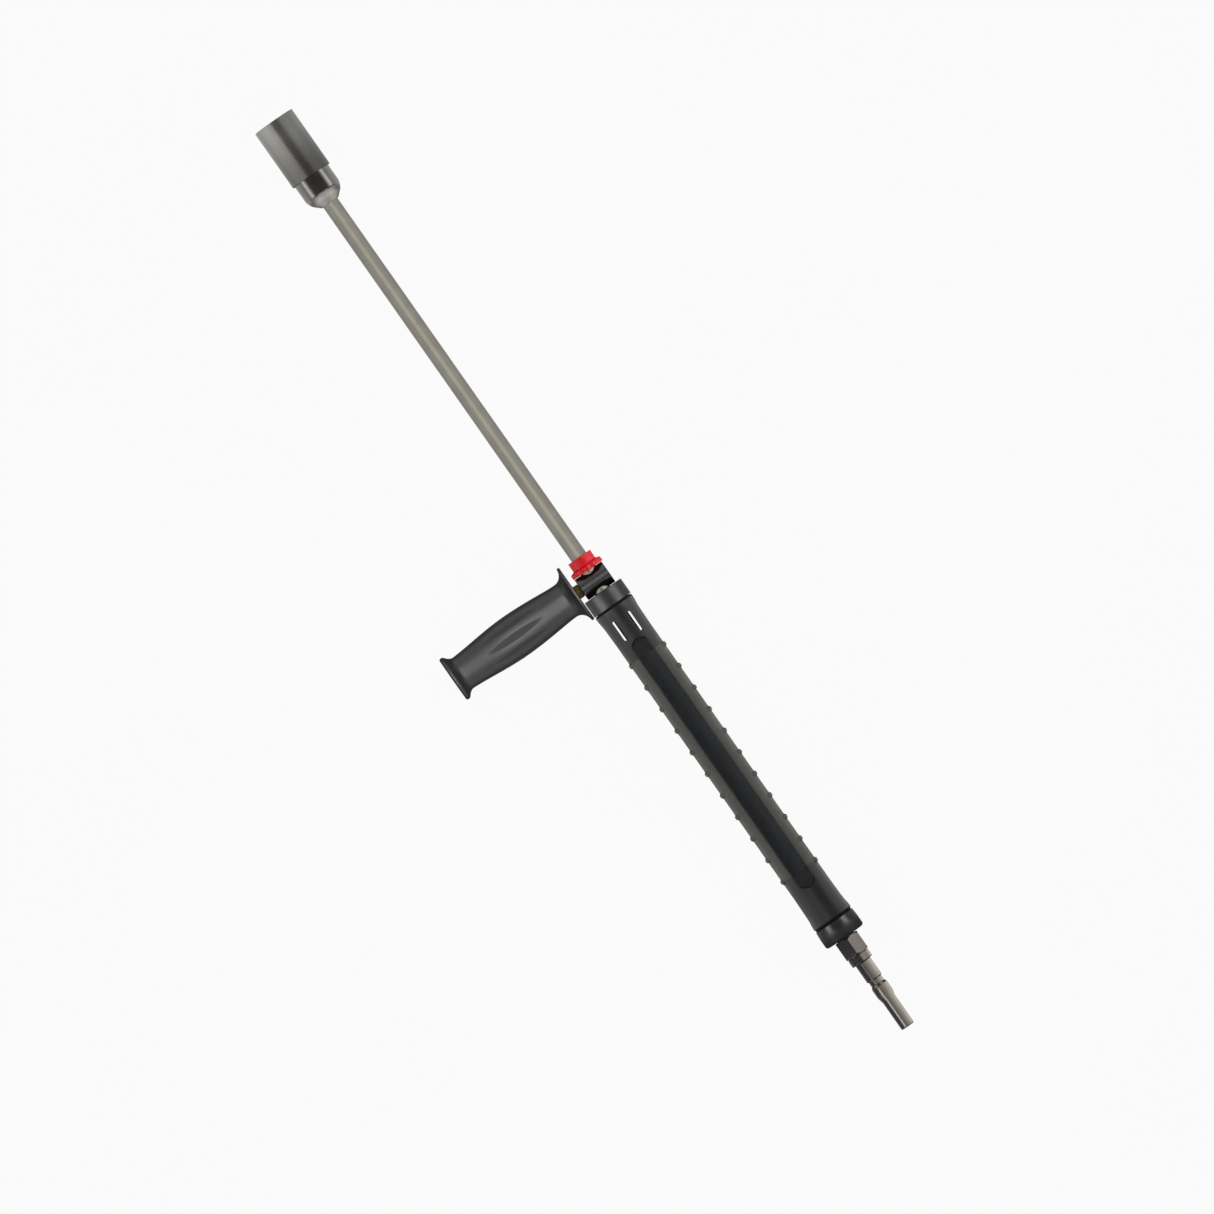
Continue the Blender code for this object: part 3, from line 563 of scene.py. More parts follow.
def build_holder():
    front, rear = span("nozzle_holder")
    out = radius("nozzle_holder")
    thread, passage = 6.8 * MM, 4.0 * MM
    nozzle_depth, tube_depth = 16.1 * MM, 11.3 * MM
    outline = [
        (front, thread),
        (front, out),
        *blended((front + 35.5 * MM, out), (front + 40.9 * MM, 16.2 * MM), (rear, 8.6 * MM)),
        (rear, SOCKET),
        (rear - tube_depth, SOCKET),
        (rear - tube_depth, passage),
        (front + nozzle_depth, passage),
        (front + nozzle_depth, thread),
    ]
    turned("nozzle_holder", outline, "holder_chrome", LANCE, FINE, (0.4 * MM, 4))


def build_nozzle():
    tip, rear = span("spray_nozzle")
    hex_front = tip + 7.0 * MM
    hex_rear = hex_front + 8.7 * MM
    tip_out = 5.0 * MM
    shank = 6.5 * MM
    orifice = 1.1 * MM
    outline = [
        (rear, 3.0 * MM),
        (rear, shank),
        (hex_rear, shank),
        *reversed(hexagon(hex_front, hex_rear, 14.0 * MM)),
        (hex_front, tip_out),
        (tip + 1.2 * MM, tip_out),
        (tip, tip_out - 1.2 * MM),
        (tip, 2.6 * MM),
        (tip + 2.0 * MM, orifice),
        (tip + 5.0 * MM, orifice),
        (tip + 8.0 * MM, 3.0 * MM),
    ]
    turned("spray_nozzle", outline, "stub_steel", LANCE, ease=(0.15 * MM, 3))


def build_tube():
    outline = pipe(*span("lance_tube"), 4.4 * MM, radius("lance_tube"))
    turned("lance_tube", outline, "tube_steel", LANCE)


# ---------------------------------------------------------------- valve

INLET_NECK = 7.6 * MM


LOBES = 12
LOBE_DEPTH = 0.8 * MM


def lobed(out, angle):
    """Ring shape: rounded finger notches in the lock ring's flange."""
    wave = 0.5 - 0.5 * math.cos(LOBES * angle)
    return out - LOBE_DEPTH * wave**1.5


def build_lock_ring():
    front, rear = span("lock_ring")
    out = radius("lock_ring")
    sleeve = 11.4 * MM
    flange = rear - 5.0 * MM
    bore = 9.6 * MM
    lip, lip_rear = radius("lance_tube") + 0.45 * MM, front + 1.1 * MM
    outline = [
        (front, lip),
        (front, sleeve),
        (flange - 0.3 * MM, sleeve),
        (flange + 0.9 * MM, out, lobed),
        (rear, out, lobed),
        (rear, bore),
        (lip_rear, bore),
        (lip_rear, lip),
    ]
    turned("lock_ring", outline, "ring_red", LANCE, FINE, (0.5 * MM, 4), body="lock_ring")


def build_outlet_connector():
    front, rear = span("outlet_connector")
    collar, stub, passage = 9.2 * MM, 7.7 * MM, 3.0 * MM
    collar_rear = span("lock_ring")[1] - 0.8 * MM
    socket_rear = collar_rear - 0.8 * MM
    outline = [
        (front, SOCKET),
        (front, collar),
        (collar_rear, collar),
        (collar_rear, stub),
        (rear, stub),
        (rear, passage),
        (socket_rear, passage),
        (socket_rear, SOCKET),
    ]
    turned("outlet_connector", outline, "stub_steel", LANCE)


def build_valve():
    far_end, near_end = reach("valve_body")
    bore, needle_bore = 5.6 * MM, 4.6 * MM
    needle_far, needle_near = -8.3 * MM, 7.2 * MM
    outline = [
        (near_end, bore),
        (near_end, VALVE_OUT),
        (far_end, VALVE_OUT),
        (far_end, bore),
        (needle_far, bore),
        (needle_far, needle_bore),
        (needle_near, needle_bore),
        (needle_near, bore),
    ]
    outlet_end = span("outlet_connector")[1] + GAP
    inlet_start = span("inlet_connector")[0] - GAP
    before, beyond = VALVE_X - 14 * MM, VALVE_X + 14 * MM
    cutters = (
        sweep("outlet_flat", rod(before, valve_low.x, 24 * MM), LANCE),
        sweep("outlet_pocket", rod(before, outlet_end, 8.0 * MM), LANCE),
        sweep("inlet_pocket", rod(inlet_start, beyond, INLET_NECK + GAP), LANCE),
    )
    turned("valve_body", outline, "valve_black", SIDE, FINE, (0.8 * MM, 5), cutters)


def build_valve_plug():
    far_end, inner = reach("valve_end_plug")
    out, key, key_end = 5.3 * MM, 2.5 * MM, far_end + 2.2 * MM
    outline = [
        (inner, 0),
        (inner, out),
        (far_end, out),
        (far_end, key, hex_ring()),
        (key_end, key, hex_ring()),
        (key_end, 0),
    ]
    turned("valve_end_plug", outline, "zinc_steel", SIDE, ease=(0.35 * MM, 3))


def build_gland():
    inner, outer = reach("gland_nut")
    hex_near = reach("valve_body")[1] + GAP
    hex_end = outer - 1.6 * MM
    bore, thread, lip = 3.9 * MM, 5.3 * MM, 5.0 * MM
    outline = [
        (inner, bore),
        (inner, thread),
        (hex_near, thread),
        *hexagon(hex_near, hex_end, 12.4 * MM, 0.8 * MM),
        (hex_end, lip),
        (outer, lip),
        (outer, bore),
    ]
    turned("gland_nut", outline, "gland_brass", SIDE, ease=(0.2 * MM, 3))


def build_inlet_connector():
    front, rear = span("inlet_connector")
    shoulder = span("grip_collar")[0]
    mouth, mouth_rear = 6.8 * MM, front + 2.8 * MM
    out, passage, socket_front = 9.5 * MM, 3.5 * MM, 24.7 * MM
    outline = [
        (front, mouth),
        (front, INLET_NECK),
        (shoulder, INLET_NECK),
        (shoulder, out),
        (rear, out),
        (rear, SOCKET),
        (socket_front, SOCKET),
        (socket_front, passage),
        (mouth_rear, passage),
        (mouth_rear, mouth),
    ]
    turned("inlet_connector", outline, "stub_steel", LANCE)


# ---------------------------------------------------------------- side handle

HANDLE_NECK, HANDLE_BELLY, HANDLE_WAIST = 16.65 * MM, 19.65 * MM, 15.9 * MM
FLUTE_HALF_WIDTH = math.radians(12)
FLUTE_DEPTH = 0.95 * MM


def handle_side(along):
    """The handle's radius between its flanges: a long belly, widest before the middle."""
    if along < BELLY_REACH:
        rise = math.sin(math.pi / 2 * (along - NECK_REACH) / (BELLY_REACH - NECK_REACH)) ** 1.2
        return HANDLE_NECK + (HANDLE_BELLY - HANDLE_NECK) * rise
    turn = math.pi * (along - BELLY_REACH) / (WAIST_REACH - BELLY_REACH)
    fall = (1 - math.cos(turn)) / 4 + (1 - math.cos(turn / 2)) / 2
    return HANDLE_BELLY - (HANDLE_BELLY - HANDLE_WAIST) * fall


def fluted(along):
    """Ring shape: lens-shaped flutes round the belly, one of them facing straight up."""
    t = (along - BELLY_REACH) / FLUTE_HALF_LENGTH
    lens = max(0.0, 1 - t * t)
    pitch = 2 * math.pi / FLUTES

    def shape(out, angle):
        if lens <= 0:
            return out
        off = (angle - math.pi / 2 + pitch / 2) % pitch - pitch / 2
        across = off / (FLUTE_HALF_WIDTH * lens**0.75)
        if abs(across) >= 1:
            return out
        return out - FLUTE_DEPTH * lens**0.9 * (1 - across * across) ** 1.5

    return shape


def build_handle():
    start, end = reach("side_handle_grip")
    flange = radius("side_handle_grip")
    rim = start + 2.6 * MM
    flare, flare_steps, stations = 9.0 * MM, 14, 104
    mouth, core_bore, screw_bore, cap_bore = 7.6 * MM, 8.3 * MM, 3.2 * MM, 7.5 * MM
    mouth_end, core_end, cap_seat = 23.0 * MM, 128.0 * MM, 140.0 * MM
    outline = [(start, mouth), (start, flange), (rim, flange)]
    for step in range(1, flare_steps + 1):
        turn = math.pi / 2 * step / flare_steps
        outline.append((rim + flare * (1 - math.cos(turn)), flange - (flange - HANDLE_NECK) * math.sin(turn)))
    for step in range(stations + 1):
        along = NECK_REACH + (WAIST_REACH - NECK_REACH) * step / stations
        outline.append((along, handle_side(along), fluted(along)))
    outline += [
        (139.2 * MM, 15.95 * MM),
        (141.0 * MM, 16.4 * MM),
        (142.6 * MM, 17.5 * MM),
        (144.0 * MM, 18.9 * MM),
        (145.2 * MM, 20.3 * MM),
        (146.3 * MM, 21.2 * MM),
        (148.3 * MM, 21.3 * MM),
        (end, 20.4 * MM),
        (end, cap_bore),
        (cap_seat, cap_bore),
        (cap_seat, screw_bore),
        (core_end, screw_bore),
        (core_end, core_bore),
        (mouth_end, core_bore),
        (mouth_end, mouth),
    ]
    turned("side_handle_grip", outline, "handle_black", SIDE, 240, (0.6 * MM, 4), body="side_handle")


def build_handle_cap():
    """The cap over the handle's screw, with a shallow round dimple."""
    inner, outer = reach("handle_end_cap")
    out, dimple, dimple_floor = 7.2 * MM, 3.0 * MM, 2.6 * MM
    sunk = outer - 0.35 * MM
    outline = [(inner, 0), (inner, out), (outer, out), (outer, dimple), (sunk, dimple_floor), (sunk, 0)]
    turned("handle_end_cap", outline, "handle_black", SIDE, ease=(0.35 * MM, 4), body="side_handle")


# ---------------------------------------------------------------- vented grip

SHELL_OUT = 17.6 * MM
SHELL_BORE = 12.0 * MM
SPIGOT = 16.3 * MM
SHELL_LAND = 18.1 * MM
LAND_FRONT, LAND_REAR = span("grip_collar")[1] + GAP, span("grip_end_cap")[0] - GAP
SLOT_FRONT, SLOT_REAR, SLOT_WIDTH, SLOT_OFFSET = 44.8 * MM, 64.5 * MM, 2.8 * MM, 7.7 * MM
RECESS_DISH, RECESS_STEP = 0.6 * MM, 0.5 * MM
RIB_COUNT, RIB_FIRST, RIB_PITCH = 11, 85.4 * MM, 22.66 * MM
RIB_HEIGHT, RIB_HALF_BASE, RIB_HALF_TOP = 1.45 * MM, 2.6 * MM, 1.0 * MM


def shell_profile(x):
    """The grip's plain radius at x."""
    stations = (
        (SHELL_FRONT, 18.95 * MM),
        (SHELL_FRONT + 4.5 * MM, 18.7 * MM),
        (SHELL_FRONT + 11 * MM, 17.95 * MM),
        (SHELL_FRONT + 30 * MM, SHELL_OUT),
        (SHELL_REAR - 32 * MM, SHELL_OUT),
        (SHELL_REAR - 13 * MM, 17.93 * MM),
        (SHELL_REAR - 8 * MM, 18.2 * MM),
        (SHELL_REAR - 4 * MM, 18.8 * MM),
        (SHELL_REAR, 19.0 * MM),
    )
    for (x0, r0), (x1, r1) in zip(stations, stations[1:]):
        if x <= x1:
            return r0 + (r1 - r0) * max(0.0, (x - x0) / (x1 - x0))
    return stations[-1][1]


def obround_distance(x, y, front, rear, centre, half):
    """Distance to the outline of a slot along X with round ends, negative inside."""
    nearest = min(max(x, front + half), rear - half)
    return math.hypot(x - nearest, y - centre) - half


def shell_radius(x, angle):
    """The outer surface of a grip half: ribs on its flanks, a long recess and slot edges on its crown."""
    r = shell_profile(x)
    index = round((x - RIB_FIRST) / RIB_PITCH)
    if 0 <= index < RIB_COUNT:
        away = abs(x - RIB_FIRST - RIB_PITCH * index)
        if away < RIB_HALF_BASE:
            window = smoothstep(0.82, 0.97, abs(math.cos(angle)))
            r += RIB_HEIGHT * window * (1 - smoothstep(RIB_HALF_TOP, RIB_HALF_BASE, away))
    if math.sin(angle) > 0.5:
        y = r * math.cos(angle)
        distance = obround_distance(x, y, RECESS_FRONT, RECESS_REAR, 0, RECESS_HALF)
        inside = smoothstep(0.35 * MM, -0.35 * MM, distance)
        middle = smoothstep(TEXTURE_FRONT - MM, TEXTURE_FRONT, x)
        middle *= smoothstep(TEXTURE_REAR + MM, TEXTURE_REAR, x)
        floor_z = RECESS_FLOOR - RECESS_DISH * middle * (1 - (y / RECESS_HALF) ** 2)
        floor_z += RECESS_STEP * (middle - 0.5)
        r += (min(r, floor_z / math.sin(angle)) - r) * inside
        for centre in (-SLOT_OFFSET, SLOT_OFFSET):
            distance = obround_distance(x, y, SLOT_FRONT, SLOT_REAR, centre, SLOT_WIDTH / 2)
            r -= 0.3 * MM * smoothstep(0.45 * MM, 0.0, distance)
    seam = min(angle, math.pi - angle)
    r -= 0.22 * MM * smoothstep(math.radians(2.4), math.radians(0.4), seam)
    return r


def shell_stations():
    """Stations along the grip: close together at the slots, the recess's ends and the ribs."""
    fine, coarse, closest = 0.4 * MM, 2.4 * MM, 0.12 * MM
    slots_start, slots_end, end_start, end_end = 44 * MM, 79 * MM, 316 * MM, 330 * MM
    stretches = (
        (SHELL_FRONT + 0.5 * MM, slots_start, 1.0 * MM),
        (slots_start, slots_end, fine),
        (slots_end, end_start, coarse),
        (end_start, end_end, fine),
        (end_end, SHELL_REAR - 0.5 * MM, 1.6 * MM),
    )
    xs = set()
    for front, rear, step in stretches:
        count = round((rear - front) / step)
        xs.update(round(front + (rear - front) * i / count, 6) for i in range(count + 1))
    for index in range(RIB_COUNT):
        middle = RIB_FIRST + RIB_PITCH * index
        xs.update(round(middle + i * 0.28 * MM, 6) for i in range(-8, 9))
    ordered = sorted(xs)
    kept = [ordered[0]]
    for x in ordered[1:]:
        if x - kept[-1] > closest:
            kept.append(x)
    return kept


def shell_angles():
    """Angles across a grip half, close together at the seams and at the recess's long edges."""
    degrees = [0.45, 0.8, 1.3, 1.9, 2.6, 4]
    degrees += [4 + 2 * i for i in range(1, 27)]
    degrees += [56 + 0.5 * i for i in range(1, 68)]
    degrees = sorted(set(round(d, 3) for d in degrees if d < 90))
    mirrored = [180 - d for d in reversed(degrees)]
    return [math.radians(d) for d in degrees + [90] + mirrored]


def shell_end(tip, land, face, inward):
    """One end of a grip half, from its bore out: the spigot, the land and the shell's edge.

    inward is 1 at the front and -1 at the rear, where the points then run the other way.
    """

    def plain(out):
        return lambda x, angle: out

    def edge(drop):
        return lambda x, angle: shell_radius(x, angle) - drop

    bevel, nick, ease = 0.3 * MM, 0.1 * MM, 0.15 * MM
    points = [
        (tip, plain(SHELL_BORE)),
        (tip, plain(SPIGOT - bevel)),
        (tip + bevel * inward, plain(SPIGOT)),
        (land, plain(SPIGOT)),
        (land, plain(SHELL_LAND - nick)),
        (land + nick * inward, plain(SHELL_LAND)),
        (face, plain(SHELL_LAND)),
        (face, edge(0.5 * MM)),
        (face + ease * inward, edge(ease)),
    ]
    return points[::inward]


def build_shell(node, place):
    angles = shell_angles()
    front, rear = span(node)
    path = shell_end(front, LAND_FRONT, SHELL_FRONT, 1)
    path += [(x, shell_radius) for x in shell_stations()]
    path += shell_end(rear, LAND_REAR, SHELL_REAR, -1)
    bm = bmesh.new()
    rows = []
    for x, out in path:
        row = []
        for angle in angles:
            r = out(x, angle)
            row.append(bm.verts.new(place @ on_ring(x, r, angle)))
        rows.append(row)
    for row, following in zip(rows, rows[1:] + rows[:1]):
        for i in range(len(angles) - 1):
            bm.faces.new((row[i], row[i + 1], following[i + 1], following[i]))
    bm.faces.new([row[0] for row in rows])
    bm.faces.new([row[-1] for row in reversed(rows)])
    piece = link(f"{node}_fine", bm, 40)
    for centre in (-SLOT_OFFSET, SLOT_OFFSET):
        carve(piece, slot_cutter(centre, place))
    show(piece, "lance", "grip_black", node)


def slot_cutter(centre, place):
    bm = bmesh.new()
    half = SLOT_WIDTH / 2
    corners = arc(SLOT_REAR - half, centre, half, -90, 90, 24)
    corners += arc(SLOT_FRONT + half, centre, half, 90, 270, 24)
    lower, upper = [[bm.verts.new(place @ Vector((x, y, z))) for x, y in corners] for z in (2 * MM, 25 * MM)]
    bm.faces.new(lower)
    bm.faces.new(upper)
    for i in range(len(corners)):
        j = (i + 1) % len(corners)
        bm.faces.new((lower[i], lower[j], upper[j], upper[i]))
    return link("slot_cutter", bm)


CAP_BORE = 16.6 * MM


def build_collar():
    front, rear = span("grip_collar")
    out = radius("grip_collar")
    bore, bevel = 9.8 * MM, 0.5 * MM
    wall = rear - 11.4 * MM
    outline = [
        (front, bore),
        (front, out - bevel),
        (front + bevel, out),
        (rear, out),
        (rear, CAP_BORE),
        (wall, CAP_BORE),
        (wall, bore),
    ]
    turned("grip_collar", outline, "grip_black", LANCE, FINE, (0.3 * MM, 4), finish="collar_black")


def build_cap():
    front, rear = span("grip_end_cap")
    out = radius("grip_end_cap")
    bore, corner = 9.4 * MM, 2.4 * MM
    wall = rear - 8.3 * MM
    outline = [
        (front, CAP_BORE),
        (front, out - 0.5 * MM),
        (front + 6.5 * MM, out),
        *arc(rear - corner, out - corner, corner, 90, 0, 10),
        (rear, bore),
        (wall, bore),
        (wall, CAP_BORE),
    ]
    turned("grip_end_cap", outline, "grip_black", LANCE, FINE, (0.6 * MM, 4), finish="cap_black")
    turned("grip_seal_ring", pipe(*span("grip_seal_ring"), SOCKET, 9.0 * MM), "seal_rubber", LANCE)


# ---------------------------------------------------------------- coupling plug


def build_plug():
    hex_front, collar_rear = span("plug_adapter")
    hex_rear = hex_front + 17.2 * MM
    collar, thread, passage, bevel = 10.1 * MM, 6.3 * MM, 4.4 * MM, 0.6 * MM
    wall = hex_rear - 1.0 * MM
    tube_end = span("feed_tube")[1] + 1.9 * MM
    outline = [
        (hex_front, SOCKET),
        *hexagon(hex_front, hex_rear, 22.0 * MM, 1.6 * MM, 8),
        (hex_rear, collar - bevel),
        (hex_rear + bevel, collar - bevel),
        (hex_rear + 1.5 * bevel, collar),
        (collar_rear - bevel, collar),
        (collar_rear, collar - bevel),
        (collar_rear, thread),
        (wall, thread),
        (wall, passage),
        (tube_end, passage),
        (tube_end, SOCKET),
    ]
    turned("plug_adapter", outline, "plug_nickel", LANCE, FINE, (0.25 * MM, 3))


def build_nipple():
    shank, end = span("coupling_nipple")
    body = span("plug_adapter")[1] + GAP
    groove = body + 17.9 * MM
    ring = groove + 4.6 * MM
    thread, bore = 6.0 * MM, 3.2 * MM
    body_out, groove_out, ring_out, pin_out = 7.45 * MM, 6.3 * MM, 7.6 * MM, 6.3 * MM
    bevel = 0.6 * MM
    outline = [
        (shank, bore),
        (shank, thread),
        (body, thread),
        (body, body_out),
        (groove - bevel, body_out),
        (groove, groove_out),
        (ring, groove_out),
        (ring + 2.2 * MM, ring_out),
        (ring + 10.9 * MM, ring_out),
        (ring + 16.5 * MM, pin_out),
        (end - bevel, pin_out),
        (end, pin_out - bevel),
        (end, bore),
    ]
    turned("coupling_nipple", outline, "plug_nickel", LANCE, ease=(0.4 * MM, 4))


build_guard()
build_holder()
build_nozzle()
build_tube()
build_lock_ring()
build_outlet_connector()
build_valve()
build_valve_plug()
build_gland()
build_inlet_connector()
build_handle()
build_handle_cap()
build_shell("grip_shell_upper", LANCE)
build_shell("grip_shell_lower", LOWER_HALF)
build_collar()
build_cap()
build_plug()
build_nipple()

# ---------------------------------------------------------------- pieces kept from the frame

KEPT = {
    "seal_fibre": ("nozzle_seal", "end_plug_seal", "tube_end_seal"),
    "stub_steel": ("tube_ferrule", "valve_seat", "valve_needle"),
    "seal_rubber": ("tube_face_seal", "spindle_oring", "nipple_seal"),
    "zinc_steel": ("valve_spindle", "handle_core", "handle_pin", "handle_washer", "handle_screw"),
    "seal_polymer": ("spindle_backup_ring",),
    "tube_steel": ("feed_tube",),
    "bush_plastic": ("front_bush", "middle_bush", "rear_bush"),
}
for slot, nodes in KEPT.items():
    for node in nodes:
        kept = frame["nodes"][node]
        kept.data.materials.clear()
        kept.data.materials.append(MATERIALS[slot])

# ---------------------------------------------------------------- studio


FLOOR_HALF, WALL_RADIUS, WALL_HEIGHT, WALL_SIDES = 40.0, 32.0, 16.0, 64


def staged(name, bm, radiance):
    """A plain pale surface that glows softly, seen by the camera but not by the lance."""
    piece = link(name, bm)
    finish = Finish(name, 0.9)
    mottle = finish.fit(finish.noise(3, detail=2), 0.3, 0.7)
    finish.colour(finish.blend(mottle, (0.14, 0.14, 0.138), (0.16, 0.16, 0.158)))
    finish.shader.inputs["Specular IOR Level"].default_value = 0.0
    finish.shader.inputs["Emission Color"].default_value = (1.0, 1.0, 1.0, 1.0)
    finish.shader.inputs["Emission Strength"].default_value = radiance
    piece.data.materials.append(finish.material)
    piece.visible_diffuse = False
    piece.visible_glossy = False
    piece.visible_shadow = False
    return piece


def floor():
    """A pale floor, and a pale wall far round it that closes the side views."""
    bm = bmesh.new()
    corners = ((-1, -1), (1, -1), (1, 1), (-1, 1))
    bm.faces.new([bm.verts.new((x * FLOOR_HALF, y * FLOOR_HALF, 0)) for x, y in corners])
    staged("studio_floor", bm, 0.945)
    bm = bmesh.new()
    circle = {"segments": WALL_SIDES, "radius": WALL_RADIUS}
    low, high = [bmesh.ops.create_circle(bm, **circle)["verts"] for _ in range(2)]
    bmesh.ops.translate(bm, verts=high, vec=(0, 0, WALL_HEIGHT))
    for i in range(WALL_SIDES):
        j = (i + 1) % WALL_SIDES
        bm.faces.new((low[i], low[j], high[j], high[i]))
    staged("studio_wall", bm, 0.98)


def world():
    """Dim even light from all round, a little dimmer straight overhead."""
    made = bpy.data.worlds.new("studio")
    bpy.context.scene.world = made
    made.use_nodes = True
    tree = made.node_tree
    coords = tree.nodes.new("ShaderNodeTexCoord")
    split = tree.nodes.new("ShaderNodeSeparateXYZ")
    tree.links.new(coords.outputs["Generated"], split.inputs["Vector"])
    ramp = tree.nodes.new("ShaderNodeValToRGB")
    for stop, (height, grey) in zip(ramp.color_ramp.elements, ((0.84, 0.10), (0.98, 0.09))):
        stop.position = height
        stop.color = (grey, grey, grey, 1)
    tree.links.new(split.outputs["Z"], ramp.inputs["Fac"])
    tree.links.new(ramp.outputs["Color"], tree.nodes["Background"].inputs["Color"])


WHITE = (1.0, 1.0, 1.0)
WARM = (1.0, 0.93, 0.84)
CREAM = (1.0, 0.97, 0.92)
IVORY = (1.0, 0.98, 0.94)
COOL = (0.95, 0.97, 1.0)
X_AXIS, Y_AXIS, Z_AXIS = Vector((1, 0, 0)), Vector((0, 1, 0)), Vector((0, 0, 1))


def group(name, pieces, left_out=False):
    """A set of pieces for a light to be limited to, or to pass by if they are left out."""
    made = bpy.data.collections.new(name)
    for piece in pieces:
        made.objects.link(bpy.data.objects[f"{piece}_fine"])
    if left_out:
        for entry in made.collection_objects:
            entry.light_linking.link_state = "EXCLUDE"
    return made


def panel(name, lit, place, width, height, radiance, tint=WHITE):
    """An evenly bright panel that shines along -Z of place and that the camera doesn't see."""
    light = bpy.data.lights.new(name, "AREA")
    light.shape = "RECTANGLE"
    light.size, light.size_y = width, height
    light.energy = radiance * width * height * math.pi
    light.color = tint
    made = bpy.data.objects.new(name, light)
    bpy.context.scene.collection.objects.link(made)
    made.matrix_world = place
    made.visible_camera = False
    made.light_linking.receiver_collection = lit
    return made


def softbox(name, lit, centre, length, axis, low, high, radiance, tint=WHITE, distance=1.4):
    """A panel along axis that lights one group, from low to high degrees off the zenith.

    Degrees are counted towards +Y for a panel along X, and towards +X for one along Y. The side
    handle doesn't stand in its light.
    """
    middle, half = math.radians((low + high) / 2), math.radians((high - low) / 2)
    across = Y_AXIS if axis.x else X_AXIS
    outward = across * math.sin(middle) + Z_AXIS * math.cos(middle)
    turn = Matrix((axis, outward.cross(axis), outward)).transposed().to_4x4()
    place = Matrix.Translation(centre + outward * distance) @ turn
    made = panel(name, lit, place, length, 2 * distance * math.tan(half), radiance, tint)
    made.light_linking.blocker_collection = NO_SHADOW


NO_SHADOW = group("no_shadow", ("side_handle_grip", "handle_end_cap"), left_out=True)
SPREAD = 0.8

# Pieces, the middle of the panels along X, their length, and the panels: degrees from the zenith
# (positive on the lance's far side), radiance and, where it isn't white, the tint.
RIG = (
    ("sleeve", ("guard_sleeve",), -0.447, SPREAD,
     ((25, 100, 0.37), (100, 160, 0.45), (-100, -20, 0.76), (-160, -100, 0.6), (-20, 25, 0.10, WARM))),
    ("holder", ("nozzle_holder",), -0.412, SPREAD,
     ((48, 100, 0.42), (-100, -48, 0.42), (58, 76, 0.9), (-76, -58, 0.9),
      (100, 160, 0.6), (-160, -100, 0.6))),
    ("tube", ("lance_tube", "spray_nozzle"), -0.20, 1.6,
     ((25, 90, 0.42), (-90, -25, 0.38), (90, 160, 0.36), (-160, -90, 0.34), (-25, 25, 0.72, CREAM))),
    ("ring", ("lock_ring",), -0.01, SPREAD,
     ((30, 90, 3.6), (-90, -30, 2.4), (90, 150, 0.8), (-150, -90, 0.8))),
    ("stubs", ("outlet_connector", "inlet_connector", "gland_nut"), 0.01, SPREAD,
     ((10, 90, 1.0), (-90, -10, 0.8), (-170, -90, 0.8))),
    ("collar", ("grip_collar",), 0.025, SPREAD,
     ((30, 72, 2.4), (-72, -30, 2.8), (80, 160, 0.3), (-160, -80, 0.5))),
    ("shell", ("grip_shell_upper", "grip_shell_lower"), 0.198, 1.2,
     ((50, 90, 1.1, IVORY), (90, 150, 1.1, IVORY), (-90, -50, 1.0, IVORY), (-150, -90, 0.8, IVORY),
      (-32, -10, 1.7, COOL))),
    ("cap", ("grip_end_cap", "grip_seal_ring"), 0.373, SPREAD,
     ((38, 62, 4.2), (-62, -38, 4.2), (70, 160, 0.3), (-160, -70, 0.3))),
    ("plug", ("plug_adapter",), 0.395, SPREAD,
     ((15, 100, 0.58, WARM), (100, 160, 1.2, WARM), (-160, -100, 0.12, WARM))),
    ("pin", ("coupling_nipple",), 0.45, SPREAD,
     ((75, 150, 1.3, WARM), (45, 72, 0.87, WARM), (15, 42, 0.56, WARM), (-12, 12, 0.35, WARM),
      (-45, -22, 0.33, WARM), (-160, -110, 0.15, WARM))),
)


def light_along():
    """The panels along the lance, each set limited to its own pieces."""
    for name, pieces, middle, length, panels in RIG:
        lit = group(name, pieces)
        for index, values in enumerate(panels):
            softbox(f"{name}_panel_{index}", lit, Vector((middle, AXIS_Y, AXIS_Z)), length, X_AXIS, *values)


def light_corners():
    """Four soft panels at the corners of the studio light every side of the pieces."""
    distance, width, height, radiance, rise = 2.2, 1.5, 1.6, 0.5, 0.45
    fine = "_fine"
    everything = group("everything", [p.name[:-len(fine)] for p in bpy.data.objects if p.name.endswith(fine)])
    for index, (x, y) in enumerate(((1, 1), (1, -1), (-1, 1), (-1, -1))):
        outward = Vector((x, y, rise)).normalized()
        turn = (-outward).to_track_quat("-Z", "Y").to_matrix().to_4x4()
        place = Matrix.Translation(outward * distance) @ turn
        panel(f"corner_{index}", everything, place, width, height, radiance)


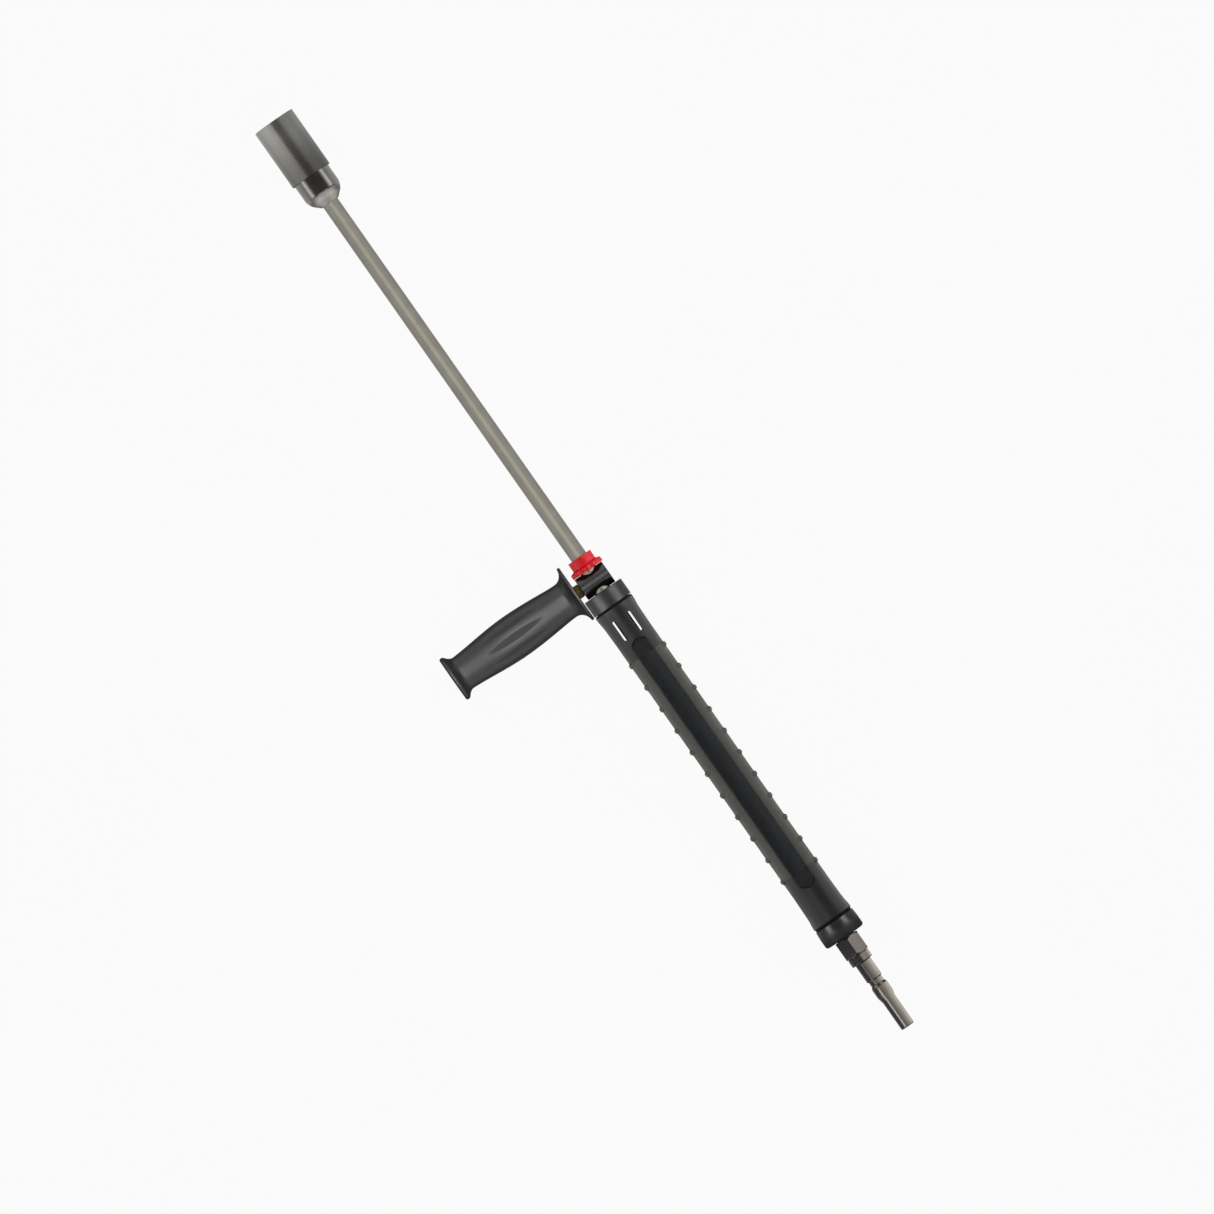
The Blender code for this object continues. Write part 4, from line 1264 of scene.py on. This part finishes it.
def light_details():
    """The holder's shoulder, the pin's end, two short highlights on the grip, the valve and the handle."""
    shoulder = group("shoulder", ("nozzle_holder",))
    softbox("shoulder_panel", shoulder, Vector((-0.40, AXIS_Y, AXIS_Z)), 3.0, Y_AXIS, 22, 140, 0.62)
    pin_end = group("pin_end", ("coupling_nipple",))
    centre = Vector((0.468, AXIS_Y, AXIS_Z))
    softbox("pin_end_panel", pin_end, centre, 0.06, X_AXIS, -48, -22, 1.1, WARM, 0.15)
    grip_front = group("grip_front", ("grip_shell_upper",))
    centre = Vector((0.030, AXIS_Y, AXIS_Z))
    for name, start, end in (("grip_front_far", 30, 62), ("grip_front_near", -62, -30)):
        softbox(name, grip_front, centre, 0.05, X_AXIS, start, end, 1.6, distance=0.12)
    valve = group("valve", ("valve_body", "valve_end_plug"))
    centre = Vector((VALVE_X, AXIS_Y, AXIS_Z))
    for name, start, end, radiance in (
        ("valve_panel", -15, 15, 1.6),
        ("valve_left", -160, -30, 1.0),
        ("valve_right", 30, 160, 1.0),
    ):
        softbox(name, valve, centre, SPREAD, Y_AXIS, start, end, radiance)
    handle = group("handle", ("side_handle_grip", "handle_end_cap"))
    centre = Vector((VALVE_X, AXIS_Y - 0.085, AXIS_Z))
    for name, start, end, radiance in (
        ("handle_top", -38, 38, 2.9),
        ("handle_left", -110, -45, 0.7),
        ("handle_right", 45, 110, 0.7),
    ):
        softbox(name, handle, centre, SPREAD, Y_AXIS, start, end, radiance)


CAMERA_HEIGHT = 12.0
CAMERA_TURN = math.radians(54.945)
CAMERA_X, CAMERA_Y = 0.0313, 0.0602
SENSOR = 36.0
PICTURE_WIDTH = 1.0443


def camera():
    """Looks straight down on the lance, turned so that it lies across the picture."""
    right = Vector((math.cos(CAMERA_TURN), math.sin(CAMERA_TURN), 0.0))
    up = Vector((-math.sin(CAMERA_TURN), math.cos(CAMERA_TURN), 0.0))
    data = bpy.data.cameras.new("camera")
    data.sensor_width = SENSOR
    data.lens = SENSOR * CAMERA_HEIGHT / PICTURE_WIDTH
    data.clip_end = 50.0
    made = bpy.data.objects.new("camera", data)
    bpy.context.scene.collection.objects.link(made)
    turn = Matrix((right, up, Z_AXIS)).transposed().to_4x4()
    made.matrix_world = Matrix.Translation((CAMERA_X, CAMERA_Y, AXIS_Z + CAMERA_HEIGHT)) @ turn
    bpy.context.scene.camera = made


floor()
world()
light_along()
light_corners()
light_details()
camera()
bpy.context.scene.view_settings.view_transform = "Standard"
